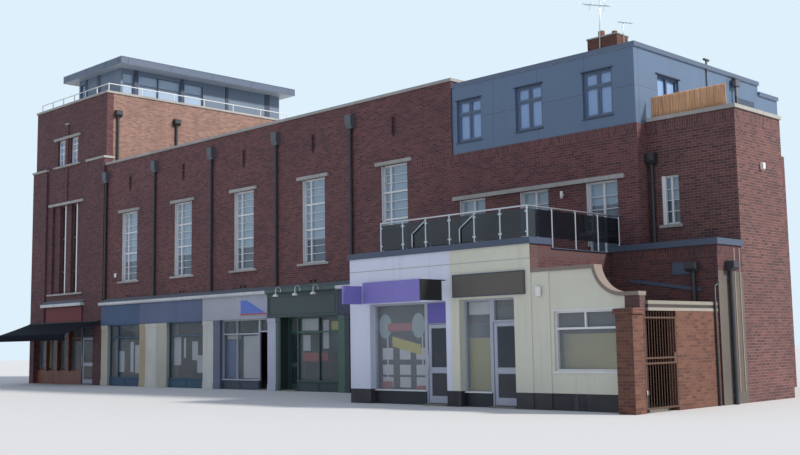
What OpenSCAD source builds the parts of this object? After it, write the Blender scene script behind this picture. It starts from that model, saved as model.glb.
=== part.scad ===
// Corner shop building: a brick hall over a row of shops, with a brick tower and
// roof lookout at the left, a clad penthouse and stair block at the right, and a
// single-storey shop extension with a roof terrace, a curved wing wall and a yard gate.
// The street lies towards -Y, +X runs to the right along the front.

/* [Main block] */
// Length of the brick front between the tower and the right-hand corner
main_len = 28300; // [27900:50:28800]
// Depth of the main block
main_depth = 8800; // [8700:50:9000]
// Thickness of the brick walls
wall_t = 330; // [290:10:380]
// Top of the brick parapet, under its coping
parapet_z = 9950; // [9700:50:10300]
// Top of the brick front below the penthouse
low_front_z = 7550; // [7300:50:7650]
// Distance of the high parapet's right end from the right-hand corner
high_end = 6870; // [6800:10:7000]
// Top of the first floor
floor_z = 3950; // [3900:10:3980]
// Thickness of the floor and roof slabs
slab_t = 200; // [150:10:250]
// Top of the flat roof behind the high parapet
main_roof_z = 9600; // [9300:50:9650]
// Thickness of the stone copings
coping_t = 100; // [70:5:130]
// Overhang of the copings beyond the wall faces
coping_out = 45; // [20:5:70]
// Top of the ground floor inside
ground_t = 40; // [20:5:45]

/* [Tall windows] */
// Spacing of the tall windows and of the downpipes between them
bay = 4170; // [4100:10:4200]
// Distance of the nearest tall window's centre from the right-hand corner
first_window = 9510; // [9400:10:9600]
// Width of a tall window
window_w = 1230; // [1000:10:1400]
// Bottom of the tall windows
window_sill_z = 4550; // [4400:10:4800]
// Top of the tall windows
window_head_z = 7600; // [7300:10:7800]
// Depth of the window frames behind the brick face
reveal = 110; // [60:5:150]
// Depth of a window frame from front to back
frame_d = 70; // [50:5:90]
// Width of a window frame member seen from the front
frame_w = 60; // [40:5:80]
// Thickness of the glass
glass_t = 12; // [6:1:20]
// Height of the concrete lintels
lintel_h = 120; // [80:5:160]
// Height of the concrete sills
sill_h = 80; // [50:5:110]
// How far lintels and sills stand out from the brick
ledge_out = 90; // [40:5:130]
// How far lintels and sills run past the opening at each side
ledge_ear = 240; // [120:10:300]

/* [Shopfronts] */
// How far the shopfronts stand out from the brick front
shop_out = 250; // [200:10:300]
// Underside of the brickwork over the shops
shop_head_z = 2640; // [2600:10:2750]
// Top of the fascia boards
fascia_top_z = 3520; // [3450:10:3560]
// Thickness of a fascia board
fascia_t = 60; // [40:5:80]
// Height of the cornice over the fascias
cornice_h = 130; // [100:10:160]
// How far the cornice stands out beyond the fascias
cornice_out = 120; // [80:10:160]
// Rise of the lead weathering behind the cornice
lead_rise = 180; // [120:10:200]
// Height of the stall risers under the shop windows
stall_h = 340; // [300:10:420]
// Depth of the glazing behind the face of the shop piers
shop_reveal = 130; // [90:10:160]
// Left edges of the shop piers, as distances from the right-hand corner
pier_dist = [28050, 24880, 20200, 16060, 12120, 7500];
// Widths of the shop piers, from left to right
pier_width = [540, 2090, 1150, 760, 570, 370];
// Top of the door leaves
door_top_z = 2130; // [2050:10:2200]
// Thickness of a door leaf
leaf_t = 45; // [35:1:55]
// Running gap round a door leaf
door_gap = 8; // [6:1:12]
// Width of a door leaf's stiles and rails
stile_w = 90; // [70:5:120]

/* [Terrace doors] */
// Left edges of the doors to the roof terrace, as distances from the right-hand corner
terrace_dist = [6580, 4150, 1750];
// Width of a terrace door
terrace_door_w = 1050; // [950:10:1100]
// Top of the terrace doors
terrace_head_z = 6060; // [5900:10:6200]

/* [Tower] */
// Width of the tower
tower_w = 6800; // [6600:50:7000]
// Depth of the tower
tower_depth = 11000; // [10800:50:11400]
// Top of the tower's brickwork, under its coping
tower_z = 13350; // [13200:50:13600]
// Top of the shoulder piers
shoulder_z = 10300; // [10000:50:10500]
// Widths of the left and right shoulder piers
shoulder_w = [1290, 1600];
// How far the shoulder piers stand out
shoulder_out = 100; // [60:5:150]
// How far the axis of the tower's windows stands left of the middle between its shoulders
tower_axis_off = 75; // [0:5:90]
// Half width of the tall window recess
recess_half = 1400; // [1300:10:1450]
// Depth of the tall window recess
recess_d = 120; // [80:5:140]
// Bottom of the tall window recess
recess_sill_z = 4250; // [4150:10:4400]
// Top of the tall window recess
recess_head_z = 8500; // [8300:10:8700]
// Half width of the brick fin between the two lights
fin_half = 250; // [200:5:280]
// Width of each of the two tall lights
slot_w = 600; // [500:10:640]
// Width of the two small windows
small_w = 740; // [650:10:800]
// Bottom of the small windows
small_sill_z = 10420; // [10350:10:10600]
// Top of the small windows
small_head_z = 11700; // [11500:10:11900]
// How far the tower's lintels and sills run past the openings at each side
tower_ear = 280; // [200:10:320]
// Top of the tower roof
tower_roof_z = 13100; // [12900:50:13200]
// Width of the brick piers beside the cafe front
cafe_pier_w = [330, 770];
// Width of the cafe door
cafe_door_w = 1250; // [1100:10:1300]

/* [Awning] */
// Width of the awning
awning_w = 6600; // [6400:50:6700]
// How far the awning reaches over the pavement
awning_out = 1800; // [1600:50:2200]
// Height of the awning at the wall
awning_back_z = 2850; // [2750:10:2860]
// Height of the awning at its front edge
awning_front_z = 2300; // [2250:10:2400]
// Thickness of the awning's space
awning_t = 30; // [20:1:40]
// Height of the hanging valance
valance_h = 300; // [200:10:320]

/* [Lookout] */
// Left edge of the lookout, from the tower's right-hand face
lookout_left = 4750; // [4600:50:4900]
// Set-back of the lookout from the tower's right-hand face
lookout_right = 800; // [700:10:900]
// Set-back of the lookout from the tower's front
lookout_front = 1130; // [1000:10:1300]
// Set-back of the lookout from the tower's back
lookout_back = 380; // [350:10:500]
// Top of the lookout's walls
lookout_z = 14860; // [14750:10:14950]
// Thickness of the lookout's walls
lookout_t = 120; // [100:5:150]
// Thickness of the lookout's roof plate
lookout_roof_t = 350; // [250:10:400]
// Overhang of the lookout's roof plate at its sides, and at its front and back
lookout_eaves = [800, 440];
// Height of the rail on the tower parapet
rail_h = 380; // [300:10:450]

/* [Penthouse] */
// Depth of the penthouse
penthouse_d = 7280; // [7000:10:7400]
// Top of the penthouse walls
penthouse_z = 9720; // [9500:10:9750]
// Thickness of the penthouse walls
clad_t = 200; // [150:10:230]
// Thickness of the penthouse roof
penthouse_roof_t = 120; // [80:5:160]
// Left edges of the penthouse windows, as distances from the right-hand corner
pent_win_dist = [6660, 4270, 1790];
// Width of a penthouse window
pent_win_w = 1020; // [900:10:1100]
// Bottom of the penthouse windows
pent_sill_z = 7910; // [7800:10:8000]
// Top of the penthouse windows
pent_head_z = 9250; // [9100:10:9300]

/* [Stair block] */
// Width of the stair block and the low block, to the right of the corner
east_w = 2650; // [2500:10:2800]
// Front of the stair block, behind the main front
stair_front = 500; // [480:10:600]
// Back of the stair block, behind the main front
stair_back = 3050; // [2900:10:3200]
// Top of the stair block's brickwork
stair_z = 7600; // [7560:10:7700]
// Front of the low block, in front of the main front
low_front = 760; // [700:10:820]
// Top of the low block's brickwork
low_z = 3960; // [3900:10:4000]
// Height of the reed screen above the stair block's coping
screen_h = 620; // [500:10:700]

/* [Extension] */
// Left end of the extension, as a distance from the right-hand corner
ext_left = 7130; // [7050:10:7200]
// Right end of the extension, as a distance from the right-hand corner
ext_right = 540; // [500:10:580]
// How far the extension stands out from the main front
ext_out = 4180; // [3900:10:4400]
// Depth of the extension's front piers
pier_d = 330; // [300:10:380]
// Underside of the extension's front beam
beam_z = 2740; // [2700:10:2760]
// Top of the extension's front beam
beam_top_z = 4040; // [4000:10:4080]
// Height of the grey metal edge trims
trim_h = 160; // [120:5:200]
// Widths of the extension's front piers, left, middle and right
ext_pier_w = [820, 470, 540];
// Left edge of the middle pier, as a distance from the right-hand corner
mid_pier = 3390; // [3350:10:3420]
// Clear width of the two door leaves
ext_door_w = 820; // [760:10:840]
// Depth of the extension's glazing behind its front
ext_reveal = 200; // [160:10:220]
// Width of an aluminium post
post_w = 50; // [40:2:60]

/* [Terrace balustrade] */
// Length of the balustrade along the street
balustrade_len = 5250; // [5000:50:5300]
// Height of the handrail above the terrace
balustrade_h = 1050; // [900:10:1200]
// Radius of the steel posts and the handrail
tube_r = 22; // [15:1:28]
// Set-back of the balustrade from the edges of the terrace
balustrade_in = 120; // [100:5:160]
// Thickness of the glass panels
panel_t = 12; // [8:1:16]

/* [Wing wall] */
// Height of the wing wall's high part, under its coping
wing_z = 3320; // [3200:10:3400]
// Height of the wing wall's low end, under its coping
wing_low_z = 2640; // [2550:10:2700]
// Radius of the concave sweep
sweep_r = 845; // [760:5:900]
// Centre of the sweep, to the right of the corner
sweep_x = 2100; // [2000:10:2200]
// Thickness of the brick-on-edge coping
brick_cap = 90; // [70:5:110]
// Thickness of the wing wall
wing_t = 230; // [200:5:260]
// Set-back of the wing wall behind the extension's front
wing_set = 50; // [30:5:80]
// Right end of the wing wall
wing_end = 2530; // [2480:10:2540]
// Left edge, width, sill and head of the wing wall's window
wing_window = [100, 1850, 920, 2350];

/* [Yard] */
// Right-hand face of the gate pier and the yard wall, to the right of the corner
yard_x = 2600; // [2590:5:2640]
// Size of the gate pier along and across the street
gate_pier = [450, 430];
// Height of the gate pier's brickwork
gate_pier_z = 2210; // [2150:10:2250]
// Clear width of the gateway
gate_w = 1380; // [1250:10:1450]
// Top of the gate
gate_top_z = 2270; // [2200:10:2280]
// Bottom of the gate
gate_base_z = 80; // [40:5:120]
// Thickness of the yard wall
yard_t = 220; // [200:5:260]
// Underside of the beam over the gateway and the yard wall
yard_beam_z = 2290; // [2260:5:2320]
// Height of the beam over the gateway and the yard wall
yard_beam_h = 150; // [130:10:200]
// Radius of the gate's bars
bar_r = 9; // [6:1:12]
// Spacing of the gate's bars
bar_gap = 110; // [90:5:130]

/* [Pipes and signs] */
// Radius of the downpipes
pipe_r = 55; // [40:1:65]
// Distance of the downpipes' centres from the brick
pipe_off = 75; // [70:1:90]
// Size of a hopper head along the wall, out from it and in height
hopper = [300, 200, 480];
// How far each downpipe stands left of the middle between two windows
pipe_shift = 0; // [0:10:150]
// Top of the hall's downpipes, under their hoppers
pipe_top_z = 9100; // [8900:10:9200]
// Places of the tower's two roof downpipes behind the front
tower_pipe_y = [530, 3670];
// Underside of the tower's hoppers
tower_hopper_z = 12250; // [12000:10:12500]
// Size of the tower's hoppers
tower_hopper = [320, 220, 300];
// Size of the stair block's hopper
small_hopper = [300, 200, 310];
// Underside of the stair block's hopper
stair_hopper_z = 6390; // [6250:10:6500]
// Size of the low block's hoppers
low_hopper = [300, 250, 240];
// Underside of the low block's hoppers
low_hopper_z = 3300; // [3100:10:3350]
// Place of the downpipe on the low block's front, to the right of the corner
low_pipe_x = 2000; // [1900:10:2100]
// Place of the downpipe on the low block's side, behind its front
low_pipe_back = 500; // [450:10:600]
// How far the two hanging signs reach out from the extension's front
blade_out = [720, 920];
// Places of the hanging signs, as distances from the right-hand corner
blade_dist = [6640, 3400];
// Thickness of a hanging sign
blade_t = 60; // [40:5:90]
// Radius of a hanging sign's bar
blade_bar = 15; // [10:1:20]
// Thickness of the flat sign boards
sign_t = 45; // [30:5:60]

/* [Details] */
// Bottom and top of the back wall's store windows
store_window = [1300, 2400];
// Width of the narrow sunk panel over each tall window
slit_w = 110; // [80:5:150]
// Height of the sunk panel
slit_h = 650; // [500:10:750]
// Bottom of the sunk panel
slit_z = 8550; // [8400:10:8700]
// Depth of the sunk panel
slit_d = 60; // [30:5:80]
// Left edge, width, sill and head of the stair window
stair_window = [380, 540, 4700, 6050];
// Step up from the floor to the terrace doors
threshold = 50; // [30:5:80]
// Set-back of the green shop's door behind the brick front
green_recess = 100; // [50:10:160]
// Width of the green shop's door opening and of the open doorway beside it
green_door_open = 820; // [760:10:850]
// Width of the open shop doorway
open_doorway = 650; // [600:10:700]
// Height of the shop windows' transom
transom_z = 2090; // [2000:10:2150]
// Radius of a door hinge's knuckle
knuckle_r = 8; // [6:0.5:10]
// Height of one hinge knuckle
knuckle_h = 60; // [40:2:80]
// Running gap between two knuckles
knuckle_gap = 0.3; // [0.2:0.1:0.5]
// Thickness of a hinge plate
plate_t = 3; // [2:0.5:4]

// Depth of the riser's face in front of the glazing
riser_out = 20; // [10:2:40]
// How far the fascia boards stand out beyond the shop piers
board_out = 20; // [10:2:40]
// Joint between two fascia boards
board_joint = 10; // [4:1:20]
// Underside of the cafe's hood
hood_z = 3620; // [3550:10:3700]
// How far the cafe's hood stands out
hood_out = 300; // [200:10:350]
// Width of a hinge plate
hinge_plate_w = 40; // [30:1:45]
// Top of a door leaf's middle rail, less its width
mid_rail_z = 850; // [750:10:950]
// How far a pull handle stands out from its leaf
handle_out = 60; // [45:1:70]
// Radius of a pull handle
handle_r = 12; // [8:0.5:15]
// Bottom and top of a pull handle
handle_z = [900, 1350];
// Top of the extension's and the cafe's stall risers
ext_stall_h = 350; // [300:10:420]
// Top of the cafe's stall riser
cafe_stall_h = 600; // [450:10:700]
// Depth of the cafe's glazing behind the brick front
cafe_y = 90; // [60:5:120]
// Width of the cafe's timber posts
cafe_post = 110; // [80:5:130]
// How far the fin between the small windows stands out
fin_out = 60; // [40:5:85]
// Height of the fin's head above the lintel
finial_h = 550; // [450:10:600]
// Size of the awning's box, out from the wall and in height
cassette = [120, 150];
// Radius of the awning's front bar
awning_bar_r = 25; // [18:1:30]
// Ends of the lookout's glazed front bay, from its left-hand corner
look_front_bay = [120, 620];
// Ends of the glazed bays at both sides of the lookout, from its front
look_side_bays = [[120, 700], [950, 3300], [3500, 4640]];
// Bottom and top of the lookout's glazing
look_glass = [13350, 14650];
// Radius of the tower rail
rail_r = 22; // [15:1:30]
// Number of bays of the tower rail on each side
rail_posts = 6; // [4:1:8]
// Set-back of the penthouse's cladding from the brick
pent_set = 40; // [20:5:60]
// Depth of the lower part behind the penthouse
pent_back = 1320; // [1200:10:1400]
// Top of the lower part's walls
pent_step_z = 9400; // [9200:10:9500]
// Front, back, bottom and top of the penthouse's side window
pent_side_win = [1220, 2360, 8410, 9100];
// Overhang of the penthouse roof
pent_eaves = 60; // [40:5:90]
// Depth of the penthouse's window frames behind the cladding
pent_reveal = 60; // [40:5:80]
// Set-back of the reed screen behind the stair block's front
screen_in = 100; // [60:5:150]
// Thickness of the reed screen
screen_t = 40; // [20:2:60]
// Length of the high trim's return along the extension's right-hand side
return_d = 880; // [800:10:950]
// Overhang of the metal trims
trim_out = 45; // [30:5:60]
// Thickness of the low trim on the extension's side
side_trim_t = 20; // [10:1:30]
// Depth of the wing wall's window frame behind its face
wing_reveal = 60; // [40:5:80]
// How far the wing wall's corner pilaster stands out
pilaster_out = 25; // [15:1:30]
// Overhang of the brick copings
cap_out = 45; // [20:5:50]
// Thickness of the gate pier's cap
pier_cap = 120; // [80:5:150]
// Gap between the gate and its pier and wall
gate_gap = 10; // [8:1:14]
// Thickness of the gate's frame
gate_t = 40; // [30:1:50]
// Height of the gate's rails
gate_rail = 40; // [30:1:50]
// Height of the gate's middle rail
gate_mid_z = 1080; // [1000:10:1150]
// How far the gate's bars stand above its top rail
gate_spike = 120; // [80:5:160]
// Width and height of the gate's lock box
lock_size = [120, 260];
// Thickness of the covered yard's roof
yard_roof_t = 80; // [60:5:120]
// Left edge and front of the chimney, as distances from the corner
chimney_at = [2930, 2000];
// Size of the chimney
chimney_size = [1080, 600, 980];

/* [Hidden] */
$fn = 32;

// Left and right faces of the tower and the inner faces of its walls
tower_x1 = -main_len;
tower_x0 = tower_x1 - tower_w;
tower_in0 = tower_x0 + wall_t;
tower_in1 = tower_x1 - wall_t;
back_in = main_depth - wall_t;
tower_back_in = tower_depth - wall_t;
tower_cx = (tower_x0 + shoulder_w[0] + tower_x1 - shoulder_w[1]) / 2 - tower_axis_off;

slot_x = [tower_cx - fin_half - slot_w, tower_cx + fin_half];
small_x = [tower_cx - fin_half - small_w, tower_cx + fin_half];
small_h = small_head_z - small_sill_z;
shoulder_back = 450;
awning_x0 = tower_x0 + 50;
awning_y = -shoulder_out;
awning_clear = 0.3;
awning_arm_in = 600;
look_x1 = tower_x1 - lookout_right;
look_x0 = tower_x1 - lookout_left;
look_y1 = tower_depth - lookout_back;
pane_y = reveal + frame_d;
back_frame_y = main_depth - reveal - frame_d;
tower_frame_y = tower_depth - reveal - frame_d;
// As many tall windows as fit between the tower and the penthouse
window_count = 1 + floor((main_len - first_window - window_w) / bay);

// Ends of the whole building, from which its centre is found
x_low = tower_x0 - shoulder_out - coping_out;
x_high = east_w + low_hopper[1];
y_low = -ext_out - max(blade_out);
y_high = look_y1 + lookout_eaves[1];
centre = [(x_low + x_high) / 2, (y_low + y_high) / 2, 0];

// Shop bays: the faces of the piers and the spaces between them
function pier_x(i) = -pier_dist[i];
function pier_end(i) = pier_x(i) + pier_width[i];
shop_y = -shop_out;
glaze_y = shop_y + shop_reveal;

store_sill_z = store_window[0];
store_head_z = store_window[1];
// Sills of the windows in the tower's back
tower_back_z = [store_sill_z, window_sill_z, small_sill_z];
terrace_sill_z = floor_z + threshold;
stair_win_x = stair_window[0];
stair_win_w = stair_window[1];
stair_win_z0 = stair_window[2];
stair_win_z1 = stair_window[3];
green_x0 = pier_end(3);
green_x1 = green_x0 + green_door_open;
board_door_x0 = pier_x(3) - open_doorway;
cafe_x0 = tower_x0 + cafe_pier_w[0];
cafe_x1 = tower_x1 - cafe_pier_w[1];
cafe_door_x0 = cafe_x1 - post_w - cafe_door_w;
cafe_head_z = shop_head_z;

cornice_ear = 100;
riser_t = frame_d + glass_t;
// Ends of the shop windows with their risers, and the widths of their lights
riser_runs = [[pier_end(0), pier_x(1)], [pier_end(1), pier_x(2)], [pier_end(2), board_door_x0],
    [green_x1, pier_x(4)], [pier_end(4), pier_x(5)]];
run_columns = [[1, 3], [1], [2, 3], [1, 1], [1, 1]];
fascia_runs = [for (i = [0 : 4]) [pier_x(i), (i == 4 ? -ext_left : pier_x(i + 1)) - board_joint]];

// Hinges and leaves of the shop doors
leaf_base_z = ground_t + 10;
knuckle_off = plate_t + knuckle_r - 2;
hinge_levels = [300, 1700];
top_light_in = door_gap + 25;
pane_gap = 2;

// Downpipes
clip_in = 300;
clip_w = 60;

// Planes of the extension's front
ext_y = -ext_out;
ext_glaze_y = ext_y + ext_reveal;
ext_x0 = -ext_left;
ext_x1 = -ext_right;
ext_in0 = ext_x0 + ext_pier_w[0];
mid_x0 = -mid_pier;
mid_x1 = mid_x0 + ext_pier_w[1];
ext_in1 = ext_x1 - ext_pier_w[2];
ext_side_t = 230;
ext_door_x0 = mid_x0 - post_w - ext_door_w;
east_door_x0 = ext_in1 - post_w - ext_door_w;
wing_y = ext_y + wing_set;
wing_back = wing_y + wing_t;
deck_z = floor_z;

// Hinged doors: left and right of the clear opening, face and top of the frame
green_door = [green_x0 + post_w, green_x1, green_recess, shop_head_z];
west_door = [ext_door_x0, mid_x0 - post_w, ext_glaze_y, beam_z];
east_door = [east_door_x0, ext_in1 - post_w, ext_glaze_y, beam_z];
cafe_leaf = [cafe_door_x0, cafe_x1 - post_w, cafe_y, cafe_head_z];
top_lights = [green_door, west_door, east_door, cafe_leaf, [board_door_x0, pier_x(3), glaze_y, shop_head_z]];

ext_windows = [[ext_in0, ext_door_x0 - post_w], [mid_x1, east_door_x0 - post_w]];
front_foot = beam_top_z + trim_h;
bal_y = ext_y + balustrade_in;
bal_x1 = ext_x1 - balustrade_in - tube_r;
bal_x0 = bal_x1 - balustrade_len;
bal_front = [for (i = [0 : 6]) bal_x0 + (bal_x1 - bal_x0) * i / 6];
bal_side = [for (i = [1 : 4]) bal_y + (-2 * tube_r - bal_y) * i / 4];
bal_side_all = concat([bal_y], bal_side);
panel_gap = 40;
sweep_steps = 14;
gate_axis = [yard_x + knuckle_off, wing_y + 4];
gate_hinge_z = [350, 1650];
low_pipe_y = -low_front + low_pipe_back;
// Flat signs: left, right, bottom, top and the face they are fixed to
flat_signs = [[ext_x0 + 580, ext_x0 + 2820, beam_z + 30, beam_z + 620, ext_y],
    [mid_x0 + 290, ext_x1 - 160, beam_z + 60, beam_z + 650, ext_y],
    [tower_x0 + shoulder_w[0] + 60, tower_x1 - shoulder_w[1] - 350, hood_z - 720, hood_z - 20, 0],
    [pier_x(3) - 1640, pier_x(3) + 60, shop_head_z + 140, shop_head_z + 760, shop_y - board_out]];
// Hanging signs: place, far edge, near edge, bottom and top
blade_signs = [[-blade_dist[0], blade_out[0], 30, beam_z + 20, beam_z + 500],
    [-blade_dist[1], blade_out[1], 160, beam_z, beam_z + 520]];

brick = "sienna";
stone = "gainsboro";
slate = "slategray";
white = "whitesmoke";

// Block between two opposite corners
module block(a, b) {
    translate(a) cube(b - a);
}

// Outline in x and z, standing at y and running back by t
module upright(y, t) {
    translate([0, y + t, 0]) rotate([90, 0, 0]) linear_extrude(t) children();
}

// Outline in y and z, standing at x and running right by t
module across(x, t) {
    translate([x, 0, 0]) rotate([90, 0, 90]) linear_extrude(t) children();
}

// Rectangle between two opposite corners
module rect(a, b) {
    translate(a) square(b - a);
}

// The building's own centre becomes the origin
module place() {
    translate(-centre) children();
}

// Flat window frame: outer rectangle with columns by rows of panes cut out
module frame_outline(a, b, columns = [1], rows = [1], member = frame_w) {
    w = b[0] - a[0];
    h = b[1] - a[1];
    cols = [for (i = 0, s = 0; i < len(columns); s = s + columns[i], i = i + 1) [s, s + columns[i]]];
    lines = [for (i = 0, s = 0; i < len(rows); s = s + rows[i], i = i + 1) [s, s + rows[i]]];
    col_all = cols[len(cols) - 1][1];
    row_all = lines[len(lines) - 1][1];
    difference() {
        rect(a, b);
        for (c = cols, r = lines)
            rect([a[0] + w * c[0] / col_all + (c[0] == 0 ? member : member / 2),
                  a[1] + h * r[0] / row_all + (r[0] == 0 ? member : member / 2)],
                 [a[0] + w * c[1] / col_all - (c[1] == col_all ? member : member / 2),
                  a[1] + h * r[1] / row_all - (r[1] == row_all ? member : member / 2)]);
    }
}

function window_x(i) = -(first_window + i * bay) - window_w / 2;

// Ground floor slab inside the walls and under the shop doors
module ground_floor() place() color("dimgray") {
    linear_extrude(ground_t) {
        rect([tower_in0, wall_t], [tower_in1, tower_back_in]);
        rect([-main_len, wall_t], [-wall_t, back_in]);
        // Extension, joined to the shops behind it
        rect([ext_x0 + ext_side_t, ext_y + pier_d], [ext_x1 - wall_t, wall_t]);
        // Under the doors
        rect([west_door[0], ext_y], [west_door[1], ext_y + pier_d]);
        rect([east_door[0], ext_y], [east_door[1], ext_y + pier_d]);
        rect([green_door[0], shop_y], [green_door[1], wall_t]);
        rect([board_door_x0, shop_y], [pier_x(3), wall_t]);
        rect([cafe_leaf[0], 0], [cafe_leaf[1], wall_t]);
        // Stair block, low block and the covered yard
        rect([0, stair_front + wall_t], [east_w - wall_t, stair_back - wall_t]);
        rect([-ext_right, -low_front + wall_t], [east_w - wall_t, 0]);
        rect([0, -low_front + wall_t], [east_w - wall_t, stair_front]);
        rect([ext_x1, wing_back], [yard_x - yard_t, -low_front]);
    }
}

// Brick front over the shops, with the tall windows and the terrace doors cut through
module main_front_wall() place() color(brick) difference() {
    upright(0, wall_t) difference() {
        union() {
            rect([-main_len, shop_head_z], [-high_end, parapet_z]);
            // Strip of brick beside the tower, down to the ground
            rect([-main_len, 0], [pier_x(0), parapet_z]);
            rect([-high_end, shop_head_z], [0, low_front_z]);
        }
        for (i = [0 : window_count - 1])
            rect([window_x(i), window_sill_z], [window_x(i) + window_w, window_head_z]);
        for (d = terrace_dist) rect([-d, terrace_sill_z], [-d + terrace_door_w, terrace_head_z]);
    }
    // A narrow sunk panel over each tall window
    for (i = [0 : window_count - 1])
        block([window_x(i) + (window_w - slit_w) / 2, -1, slit_z],
              [window_x(i) + (window_w + slit_w) / 2, slit_d, slit_z + slit_h]);
}

// Back wall: the same tall windows over a row of shop store windows
module main_back_wall() place() color(brick)
    upright(back_in, wall_t) difference() {
        union() {
            rect([-main_len, 0], [-high_end, parapet_z]);
            rect([-high_end, 0], [0, low_front_z]);
        }
        for (i = [0 : window_count - 1]) {
            rect([window_x(i), window_sill_z], [window_x(i) + window_w, window_head_z]);
            rect([window_x(i), store_sill_z], [window_x(i) + window_w, store_head_z]);
        }
    }

// End wall at the right-hand corner and the wall that steps up to the high roof
module main_cross_walls() place() color(brick) {
    block([-wall_t, wall_t, 0], [0, back_in, low_front_z]);
    block([-high_end - wall_t, wall_t, low_front_z], [-high_end, back_in, parapet_z]);
}

// First floor, the tower's floors, and the roof terrace over the extension
module floor_slabs() place() color("darkgray") {
    block([-main_len, wall_t, floor_z - slab_t], [-wall_t, back_in, floor_z]);
    for (z = [floor_z, main_roof_z])
        block([tower_in0, wall_t, z - slab_t], [tower_in1, tower_back_in, z]);
    block([ext_x0, ext_y + pier_d, deck_z - slab_t], [ext_x1, 0, deck_z]);
}

// Flat roofs of the hall, the lower end, the tower, the stair block and the low block
module roof_slabs() place() color("dimgray") {
    block([-main_len, wall_t, main_roof_z - slab_t], [-high_end - wall_t, back_in, main_roof_z]);
    block([-high_end - wall_t, wall_t, low_front_z - slab_t], [-wall_t, back_in, low_front_z]);
    block([tower_in0, wall_t, tower_roof_z - slab_t], [tower_in1, tower_back_in, tower_roof_z]);
    block([0, stair_front + wall_t, stair_z - 2 * slab_t],
          [east_w - wall_t, stair_back - wall_t, stair_z - slab_t]);
    translate([0, 0, low_z - slab_t]) linear_extrude(slab_t) {
        rect([-ext_right, -low_front + wall_t], [east_w - wall_t, 0]);
        rect([0, -low_front + wall_t], [east_w - wall_t, stair_front]);
    }
}

// Stone coping on the parapets of the hall, the tower and the stair block
module copings() place() color(stone) {
    // Hall: along the street, back along the step and along the back
    translate([0, 0, parapet_z]) linear_extrude(coping_t) {
        rect([-main_len, -coping_out], [-high_end + coping_out, wall_t + coping_out]);
        rect([-high_end - wall_t - coping_out, -coping_out],
             [-high_end + coping_out, main_depth + coping_out]);
        rect([-main_len, back_in - coping_out], [-high_end + coping_out, main_depth + coping_out]);
    }
    // Tower: a ring on all four walls
    translate([0, 0, tower_z]) linear_extrude(coping_t) difference() {
        rect([tower_x0 - coping_out, -coping_out], [tower_x1 + coping_out, tower_depth + coping_out]);
        rect([tower_in0 + coping_out, wall_t + coping_out],
             [tower_in1 - coping_out, tower_back_in - coping_out]);
    }
    // Stair block: front, right-hand side and back
    translate([0, 0, stair_z]) linear_extrude(coping_t) difference() {
        rect([0, stair_front - coping_out], [east_w + coping_out, stair_back + coping_out]);
        rect([-1, stair_front + wall_t + coping_out],
             [east_w - wall_t - coping_out, stair_back - wall_t - coping_out]);
    }
}

// One lintel and one sill round an opening of the wall whose face is at y
module ledges(x0, x1, z0, z1, y = 0, out = ledge_out, ear = ledge_ear) {
    block([x0 - ear, y - out, z1], [x1 + ear, y, z1 + lintel_h]);
    block([x0 - ear, y - out, z0 - sill_h], [x1 + ear, y, z0]);
}

// Concrete lintels and sills of the hall and the tower, and the band over the terrace doors
module lintels_and_sills() place() color(stone) {
    for (i = [0 : window_count - 1]) {
        x = window_x(i);
        ledges(x, x + window_w, window_sill_z, window_head_z);
    }
    block([-terrace_dist[0] - ledge_ear, -ledge_out, terrace_head_z],
          [-terrace_dist[2] + terrace_door_w + ledge_ear, 0, terrace_head_z + lintel_h]);
    ledges(tower_cx - recess_half, tower_cx + recess_half, recess_sill_z, recess_head_z, ear = tower_ear);
    ledges(small_x[0], small_x[1] + small_w, small_sill_z, small_head_z, ear = tower_ear);
    // The stair window has a sill alone
    block([stair_win_x - sill_h, stair_front - ledge_out / 2, stair_win_z0 - sill_h],
          [stair_win_x + stair_win_w + sill_h, stair_front, stair_win_z0]);
    // Caps of the shoulder piers, returned along the tower's sides
    translate([0, 0, shoulder_z]) linear_extrude(coping_t) {
        cap_y = -shoulder_out - coping_out;
        rect([tower_x0 - shoulder_out - coping_out, cap_y], [tower_x0 + shoulder_w[0] + coping_out, 0]);
        rect([tower_x0 - shoulder_out - coping_out, cap_y], [tower_x0, shoulder_back + coping_out]);
        rect([tower_x1 - shoulder_w[1] - coping_out, cap_y], [tower_x1 + coping_out, 0]);
        rect([tower_x1, cap_y], [tower_x1 + coping_out, shoulder_back - coping_out]);
    }
}

// White frames of the tall windows, the tower, the terrace doors and the stair window
module upper_window_frames() place() color(white) {
    for (i = [0 : window_count - 1]) {
        x = window_x(i);
        for (y = [reveal, back_frame_y])
            upright(y, frame_d)
                frame_outline([x, window_sill_z], [x + window_w, window_head_z], [2, 5], [4, 3, 3]);
        upright(back_frame_y, frame_d)
            frame_outline([x, store_sill_z], [x + window_w, store_head_z], [1, 1]);
    }
    for (d = terrace_dist)
        upright(reveal, frame_d)
            frame_outline([-d, terrace_sill_z], [-d + terrace_door_w, terrace_head_z], [1, 1], [1, 3]);
    upright(stair_front + reveal, frame_d)
        frame_outline([stair_win_x, stair_win_z0], [stair_win_x + stair_win_w, stair_win_z1], [1, 1]);
    for (x = slot_x)
        upright(recess_d + reveal, frame_d)
            frame_outline([x, recess_sill_z], [x + slot_w, recess_head_z], [1], [2, 3, 3]);
    for (x = small_x) {
        upright(reveal, frame_d)
            frame_outline([x, small_sill_z], [x + small_w, small_head_z], [1, 1], [2, 1, 1]);
        for (z = tower_back_z)
            upright(tower_frame_y, frame_d)
                frame_outline([x, z], [x + small_w, z + small_h], [1, 1], [2, 1]);
    }
}

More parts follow.
